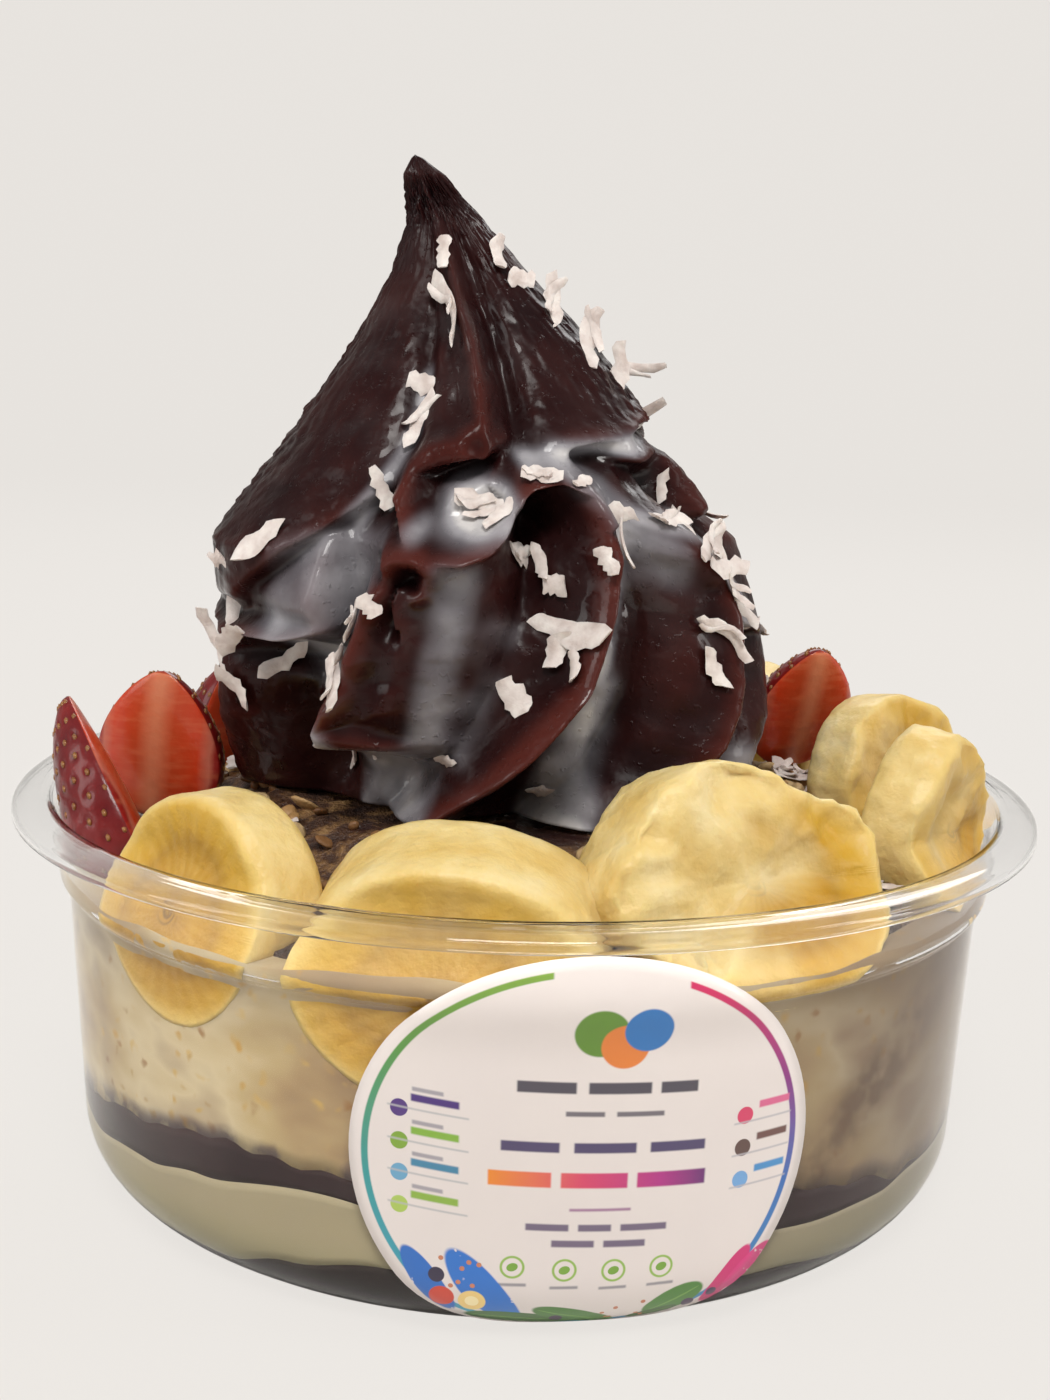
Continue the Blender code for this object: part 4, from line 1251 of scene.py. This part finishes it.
def slice_outline(half):
    """Depth, reach and face share of each ring, from the middle of one face to the other's."""
    outline = [(-half, reach, 1) for reach in FACE_RINGS]
    edge = [(-half + 0.2, 0.945, 0.9), (-half + 0.8, 0.98, 0.4), (-half + 1.8, 1.0, 0)]
    outline += edge + [(half * k, 1.005, 0) for k in (-0.55, -0.3, 0, 0.3, 0.55)]
    outline += [(-depth, reach, face) for depth, reach, face in edge[::-1]]
    return outline + [(half, reach, 1) for reach in FACE_RINGS[::-1]]


def banana_slice(name, bearing, radius, height, width, tall, thick, lean, turn, rough):
    """A rounded slice; rough is how much of its face is torn instead of cleanly cut."""
    sides = 96
    phase = random.Random(name).uniform(0, 6)
    rings, marks = [], []
    for depth, reach, face in slice_outline(thick / 2):
        ring = []
        for i in range(sides if reach else 1):
            t = 2 * pi * i / sides
            swell = 1 + 0.025 * cos(3 * t - pi / 2) - 0.012 + 0.008 * sin(5 * t + phase)
            for at, spread, size in TEARS:
                swell += rough * size * exp(-((t - at) / spread) ** 2)
            x, z = width / 2 * reach * swell * cos(t), tall / 2 * reach * swell * sin(t)
            here = Vector((x * 0.16, depth * 0.16 + phase * 7, z * 0.16))
            soft_lump = lump(here) * 0.9 + lump(here * 2.7) * 0.35
            tear = lump(here * 0.8 + Vector((9, 0, 0))) * 4.0 + lump(here * 2.1) * 1.1
            inward = abs(tear) * rough * face if depth < 0 else 0
            y = depth + (inward + 0.35 * soft_lump * face) * (1 if depth < 0 else -1)
            grown = 1
            if reach > 0.9:
                grown += (0.35 * soft_lump + 0.8 * rough * lump(here * 3.1) - 0.3) / (width / 2)
            ring.append((x * grown, y, z * grown))
            torn_here = rough * min(max(0.45 + tear * 0.3 + (z - x) * 0.045, 0), 0.96)
            marks.append((reach, t, face * (1 - torn_here)))
        rings.append(ring)
    piece = skin_rings(name, rings)
    store_marks(piece, "slice", marks)
    piece.data.transform(stand_matrix(bearing, radius - thick / 2, height, lean, 0, turn))
    outer_face = [mark[2] > 0.08 and i < len(marks) / 2 for i, mark in enumerate(marks)]
    press_on_wall(piece, 13.0, [float(pressed) for pressed in outer_face])
    piece.data.materials.append(flesh)
    return piece


for row in BANANAS:
    slice_piece = banana_slice(row[0] + "_slice", *row[1:])
    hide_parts(row[0])
    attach(slice_piece, "root")

# ---------------------------------------------------------------- strawberries
# Halved strawberries: glossy red skin with pitted seeds, and a paler cut face with a light
# heart and a thin dark rim.

SEED_ROWS, SEEDS_ROUND = 11, 18
# name, bearing, radius, height, long, wide, lean, roll, turn
BERRIES = (
    ("strawberry_left", -164.0, 60.6, 55.4, 35.0, 20.0, -24, -30, 180),
    ("strawberry_left_back", -176.0, 54.5, 61.0, 23.0, 20.0, 4, 6, 70),
    ("strawberry_right_back", 19.0, 46.0, 65.5, 22.0, 17.0, 0, -24, -90),
    ("strawberry_back", 152.0, 55.0, 56.0, 26.0, 21.0, 8, 12, 180),
)
berry_red, tree, shader = shader_tree("strawberry")
where = stored(tree, "berry", "Vector")
split = add_node(tree, "SeparateXYZ", Vector=where)
cut_face, reach, pit = split.outputs["X"], split.outputs["Y"], split.outputs["Z"]
skin_tone = ramp(tree, noise(tree, 120, 3), (0.3, (0.11, 0.004, 0.006)), (0.7, (0.23, 0.010, 0.009)))
# the skin is painted darker in the seed pits: painted shade
skin_tone = blend_colour(tree, times(tree, pit, 0.6), skin_tone, (0.06, 0.004, 0.006))
from_middle = plus(tree, reach, times(tree, noise(tree, 260, 3), 0.12))
heart_tone = ramp(tree, from_middle, (0.10, (0.62, 0.20, 0.10)), (0.35, (0.50, 0.062, 0.018)),
                  (0.75, (0.56, 0.045, 0.010)), (0.93, (0.52, 0.14, 0.09)),
                  (1.05, (0.30, 0.015, 0.012)))
threads = add_node(tree, "Mapping", Vector=place_on(tree), Scale=(0.35, 0.35, 1.8)).outputs[0]
threads = ramp(tree, noise(tree, 520, 2, threads), (0.48, (0,)), (0.70, (0.34,)))
heart_tone = blend_colour(tree, threads, heart_tone, (0.64, 0.18, 0.08))
tree.links.new(blend_colour(tree, cut_face, skin_tone, heart_tone), shader.inputs["Base Color"])
set_finish(shader, Roughness=0.30, Specular_IOR_Level=0.3, Coat_Weight=0.2, Subsurface_Weight=0.15,
           Subsurface_Radius=(1.0, 0.25, 0.15), Subsurface_Scale=0.002)
raise_surface(tree, shader, noise(tree, 500, 3), 0.0004, 0.4)
seed_look, tree, shader = shader_tree("strawberry seed")
tree.links.new(ramp(tree, noise(tree, 900, 2), (0.3, (0.20, 0.07, 0.02)), (0.7, (0.34, 0.15, 0.04))),
               shader.inputs["Base Color"])
set_finish(shader, Roughness=0.35)


def berry_half(name, bearing, radius, height, long, wide, lean, roll, turn):
    """Half a strawberry, its flat cut face towards -y, and the seeds set in its skin."""
    sides, levels = 96, 64
    rings, marks, seeds = [[(0, 0, -long / 2)]], [(0, 1, 0)], []
    for level in range(1, levels):
        t = level / levels
        z = -long / 2 + long * t
        reach = (wide / 2) * sin(pi * t ** 0.75) ** 0.62
        row = int(t * SEED_ROWS)
        along = (t * SEED_ROWS) % 1 - 0.5
        ring = []
        for i in range(sides):
            a = 2 * pi * i / sides
            about = (a / (2 * pi) * SEEDS_ROUND + 0.5 * (row % 2)) % 1 - 0.5
            pit = 0
            if sin(a) > 0.05 and 0.08 < t < 0.95:
                pit = exp(-(along / 0.2) ** 2 - (about / 0.2) ** 2)
            x, y = reach * cos(a), reach * sin(a)
            flat = sin(a) < 0
            y *= 0.35 if flat else 0.8
            k = 1 - 0.35 * pit / max(reach, 1)
            ring.append((x * k, y * k if not flat else y * 0.55 - 0.3, z))
            marks.append((1.0 if sin(a) < -0.12 else 0.0, abs(x) / (wide / 2), pit))
            mid_row = abs(along) < 0.5 * SEED_ROWS / levels + 1e-6
            if not flat and mid_row and abs(about) < SEEDS_ROUND / 2 / sides + 1e-6:
                seeds.append((Vector((x, y, z)), Vector((cos(a), sin(a) * 1.2, 0.2)).normalized()))
        rings.append(ring)
    rings.append([(0, 0, long / 2)])
    marks.append((0, 1, 0))
    piece = skin_rings(name, rings)
    store_marks(piece, "berry", marks)
    piece.data.materials.append(berry_red)
    form = bmesh.new()
    for place, out in seeds:
        grown = bmesh.ops.create_icosphere(form, subdivisions=1, radius=0.5)["verts"]
        faced = out.to_track_quat('Z', 'Y').to_matrix()
        for v in grown:
            pip = faced @ Vector((v.co.x * 0.8, v.co.y * 1.3, v.co.z * 0.6))
            v.co = (pip + place - out * 0.15) * MM
    pips = finish_mesh(name + "_seeds", form)
    pips.data.materials.append(seed_look)
    matrix = stand_matrix(bearing, radius, height, lean, roll, turn)
    for made in (piece, pips):
        made.data.transform(matrix)
    press_on_wall(piece, 2.0, [1.0] * len(piece.data.vertices))
    return piece, pips


for row in BERRIES:
    half, pips = berry_half(row[0] + "_half", *row[1:])
    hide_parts(row[0])
    for made in (half, pips):
        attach(made, "root")

# ---------------------------------------------------------------- coconut
# Dried coconut shreds: thin, slightly curled slivers with ragged ends, fallen over the
# swirl and on the granola round it.

SHREDS_BEHIND, SHREDS_ON_HEAP = 46, 90
HEAP_TUFTS = (-158, -150, -40, 8, -112)
# bearing, height, length, width, turn in degrees, curl
SHREDS_ON_SWIRL = (
    (-8, 133, 4.4, 2.0, 105, 0.1), (-7, 126, 10.5, 2.4, 78, 0.3), (-22, 115, 4.4, 2.6, 10, 0.2),
    (-21, 110.5, 8.0, 2.2, 108, 0.2), (-26, 102, 5.4, 1.8, 58, 0.1), (-49, 95.5, 7.0, 3.0, 115, 0.1),
    (-64, 92.5, 2.2, 2.2, 0, 0.1), (2, 100.2, 6.5, 2.6, 20, 0.4), (7, 99.4, 5.4, 2.0, 145, 0.2),
    (3, 99.4, 4.6, 1.5, 172, 0.2), (17.5, 104.8, 5.0, 2.2, 20, 0.2), (27, 104.4, 3.0, 1.6, 150, 0.1),
    (13, 93.5, 5.2, 2.8, 15, 0.1), (18, 92.8, 5.0, 1.8, 100, 0.2), (19, 90, 3.2, 2.4, 40, 0.2),
    (29, 95, 4.2, 2.2, 85, 0.1), (37, 99, 6.0, 2.6, 12, 0.3), (33, 96.5, 6.0, 1.4, 85, 0.3),
    (21, 84.8, 10.5, 3.2, 35, 0.3), (17, 82.0, 4.6, 2.4, 130, 0.5), (19, 80.6, 3.8, 1.6, 110, 0.4),
    (6.5, 75.5, 5.0, 3.4, 62, 0.1), (49, 99.8, 5.4, 2.2, 10, 0.2), (57, 96.5, 8.6, 1.8, 160, 0.3),
    (58, 93.5, 7.0, 2.8, 25, 0.3), (66, 95.5, 6.4, 2.2, 72, 0.4), (72, 93, 6.0, 2.4, 125, 0.4),
    (60, 90, 6.0, 1.7, 75, 0.4), (62, 87, 6.0, 1.6, 62, 0.5), (56, 84, 8.4, 1.7, 58, 0.6),
    (52, 79.5, 5.4, 2.4, 80, 0.3), (-26, 86, 5.0, 1.8, 98, 0.2), (-29, 81, 4.8, 2.2, 40, 0.3),
    (-29, 77.5, 9.0, 2.2, 60, 0.2), (-66, 84.5, 5.6, 2.4, 70, 0.3), (-59, 82.4, 6.0, 2.6, 170, 0.3),
    (-70, 80, 9.0, 2.2, 78, 0.4), (-56, 77, 7.0, 2.2, 128, 0.3), (-64, 74, 6.0, 2.0, 60, 0.3),
    (-50, 67.5, 13.0, 2.6, 22, 0.4), (-42, 66.5, 5.6, 2.0, 75, 0.3), (-47, 63.5, 4.6, 2.0, 120, 0.2),
    (46, 133, 5.0, 2.0, 130, 0.4), (50, 130, 3.6, 2.8, 30, 0.2), (60, 127, 8.0, 2.2, 132, 0.3),
    (66, 122.5, 9.0, 2.6, 138, 0.3), (72, 118.5, 7.0, 2.2, 130, 0.4), (76, 117.5, 10.0, 1.7, 8, 0.7),
    (74, 111, 10.5, 2.2, 122, 0.4), (66, 102, 4.0, 1.6, 120, 0.3), (16, 61.5, 3.4, 2.0, 20, 0.1),
    (74, 82, 7.0, 1.8, 75, 0.3), (70, 74, 5.6, 2.2, 100, 0.4), (-20, 89.3, 3.0, 2.2, 60, 0.2),
    (-10, 66.5, 3.0, 1.8, 10, 0.1), (58, 66, 6.0, 2.2, 25, 0.4), (66, 67, 7.0, 2.0, 95, 0.4),
)
shred_white, tree, shader = shader_tree("dried coconut")
tone = ramp(tree, noise(tree, 420, 4), (0.3, (0.54, 0.45, 0.41)), (0.5, (0.68, 0.60, 0.56)),
            (0.7, (0.80, 0.74, 0.69)))
tree.links.new(tone, shader.inputs["Base Color"])
set_finish(shader, Roughness=0.6, Subsurface_Weight=0.15, Subsurface_Radius=(1.0, 0.8, 0.7),
           Subsurface_Scale=0.001)
raise_surface(tree, shader, noise(tree, 900, 3), 0.0004, 0.5)
chance = random.Random(11)
shred_form = bmesh.new()


# across a sliver: share of its half width, share of its thickness
SECTION = ((-1, 0), (-0.55, 1), (0.55, 1), (1, 0), (0.55, -1), (-0.55, -1))


def add_shred(place, out, along, length, width, turn, curl, split=False):
    """One sliver, laid on a surface at a place, turned about the outward direction."""
    side = out.cross(along).normalized()
    along = side.cross(out).normalized()
    long_way = side * cos(radians(turn)) + along * sin(radians(turn))
    wide_way = out.cross(long_way)
    steps = 8
    length *= 1.12
    sections = []
    lean, shear = chance.uniform(-0.3, 0.3), chance.uniform(-0.9, 0.9)
    for step in range(steps + 1):
        s = step / steps * 2 - 1
        half = width * 0.55 * (1 - 0.35 * abs(s) ** 5)
        ragged_half = [half * (1 + chance.uniform(-0.38, 0.30)) for _ in range(2)]
        thick = 0.26 * (1 - 0.3 * abs(s))
        bow = curl * length * 0.32 * (s * s)
        sway = 0.16 * length * curl * sin(s * 2.6 + lean * 6)
        middle = place + long_way * (s * length / 2) + wide_way * sway + out * (0.45 + bow)
        tilt = (wide_way + out * (lean * 0.8 + s * curl * 0.6)).normalized()
        up = long_way.cross(tilt).normalized()
        slip = long_way * (shear * half * abs(s) ** 3)
        section = []
        for a, b in SECTION:
            corner = middle + tilt * ragged_half[a > 0] * a + slip * a + up * thick * b
            section.append(shred_form.verts.new(corner * MM))
        sections.append(section)
    for low, high in zip(sections, sections[1:]):
        for i in range(len(SECTION)):
            j = (i + 1) % len(SECTION)
            shred_form.faces.new((low[i], low[j], high[j], high[i]))
    shred_form.faces.new(sections[0][::-1])
    shred_form.faces.new(sections[-1])
    if not split and length > 5.5 and chance.random() < 0.4:
        fork = turn + chance.choice((-26, -18, 18, 26))
        add_shred(place + out * 0.3 + long_way * length * 0.12, out, along, length * 0.62,
                  width * 0.55, fork, curl + 0.2, True)


def facing_out(bearing, height):
    """A place on the swirl; towards its sides the sliver stands out from it a little."""
    place, out, up = on_swirl(bearing, height)
    aside = max(abs(sin(radians(bearing))) - 0.75, 0) * 4 if abs(bearing) < FRONT_REACH else 0
    stood = (out + Vector((0, -1, 0)) * 1.5 * aside).normalized()
    return place + out * 0.6 * aside, stood, up


for bearing, height, length, width, turn, curl in SHREDS_ON_SWIRL:
    add_shred(*facing_out(bearing, height), length, width, turn, curl)
for count in range(SHREDS_BEHIND):
    bearing = chance.uniform(95, 255)
    add_shred(*on_swirl((bearing + 180) % 360 - 180, chance.uniform(64, 122)), chance.uniform(3.5, 9),
              chance.uniform(1.5, 2.6), chance.uniform(0, 180), chance.uniform(0.1, 0.4))
for count in range(SHREDS_ON_HEAP):
    # the first ones lie in tufts, the rest anywhere
    if count > 26:
        bearing = chance.uniform(0, 360)
    else:
        bearing = chance.choice(HEAP_TUFTS) + chance.uniform(-7, 7)
    x, y, z = round_point(chance.uniform(41, 60), radians(bearing), 0)
    add_shred(Vector((x, y, heap_height(x, y) + 0.8)), Vector((0, 0, 1)), Vector((1, 0, 0)),
              chance.uniform(3.5, 8), chance.uniform(1.5, 2.6), chance.uniform(0, 360),
              chance.uniform(0.1, 0.4))
bmesh.ops.recalc_face_normals(shred_form, faces=shred_form.faces)
shreds = finish_mesh("coconut_shreds", shred_form, 50)
shreds.data.materials.append(shred_white)
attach(shreds, "root")
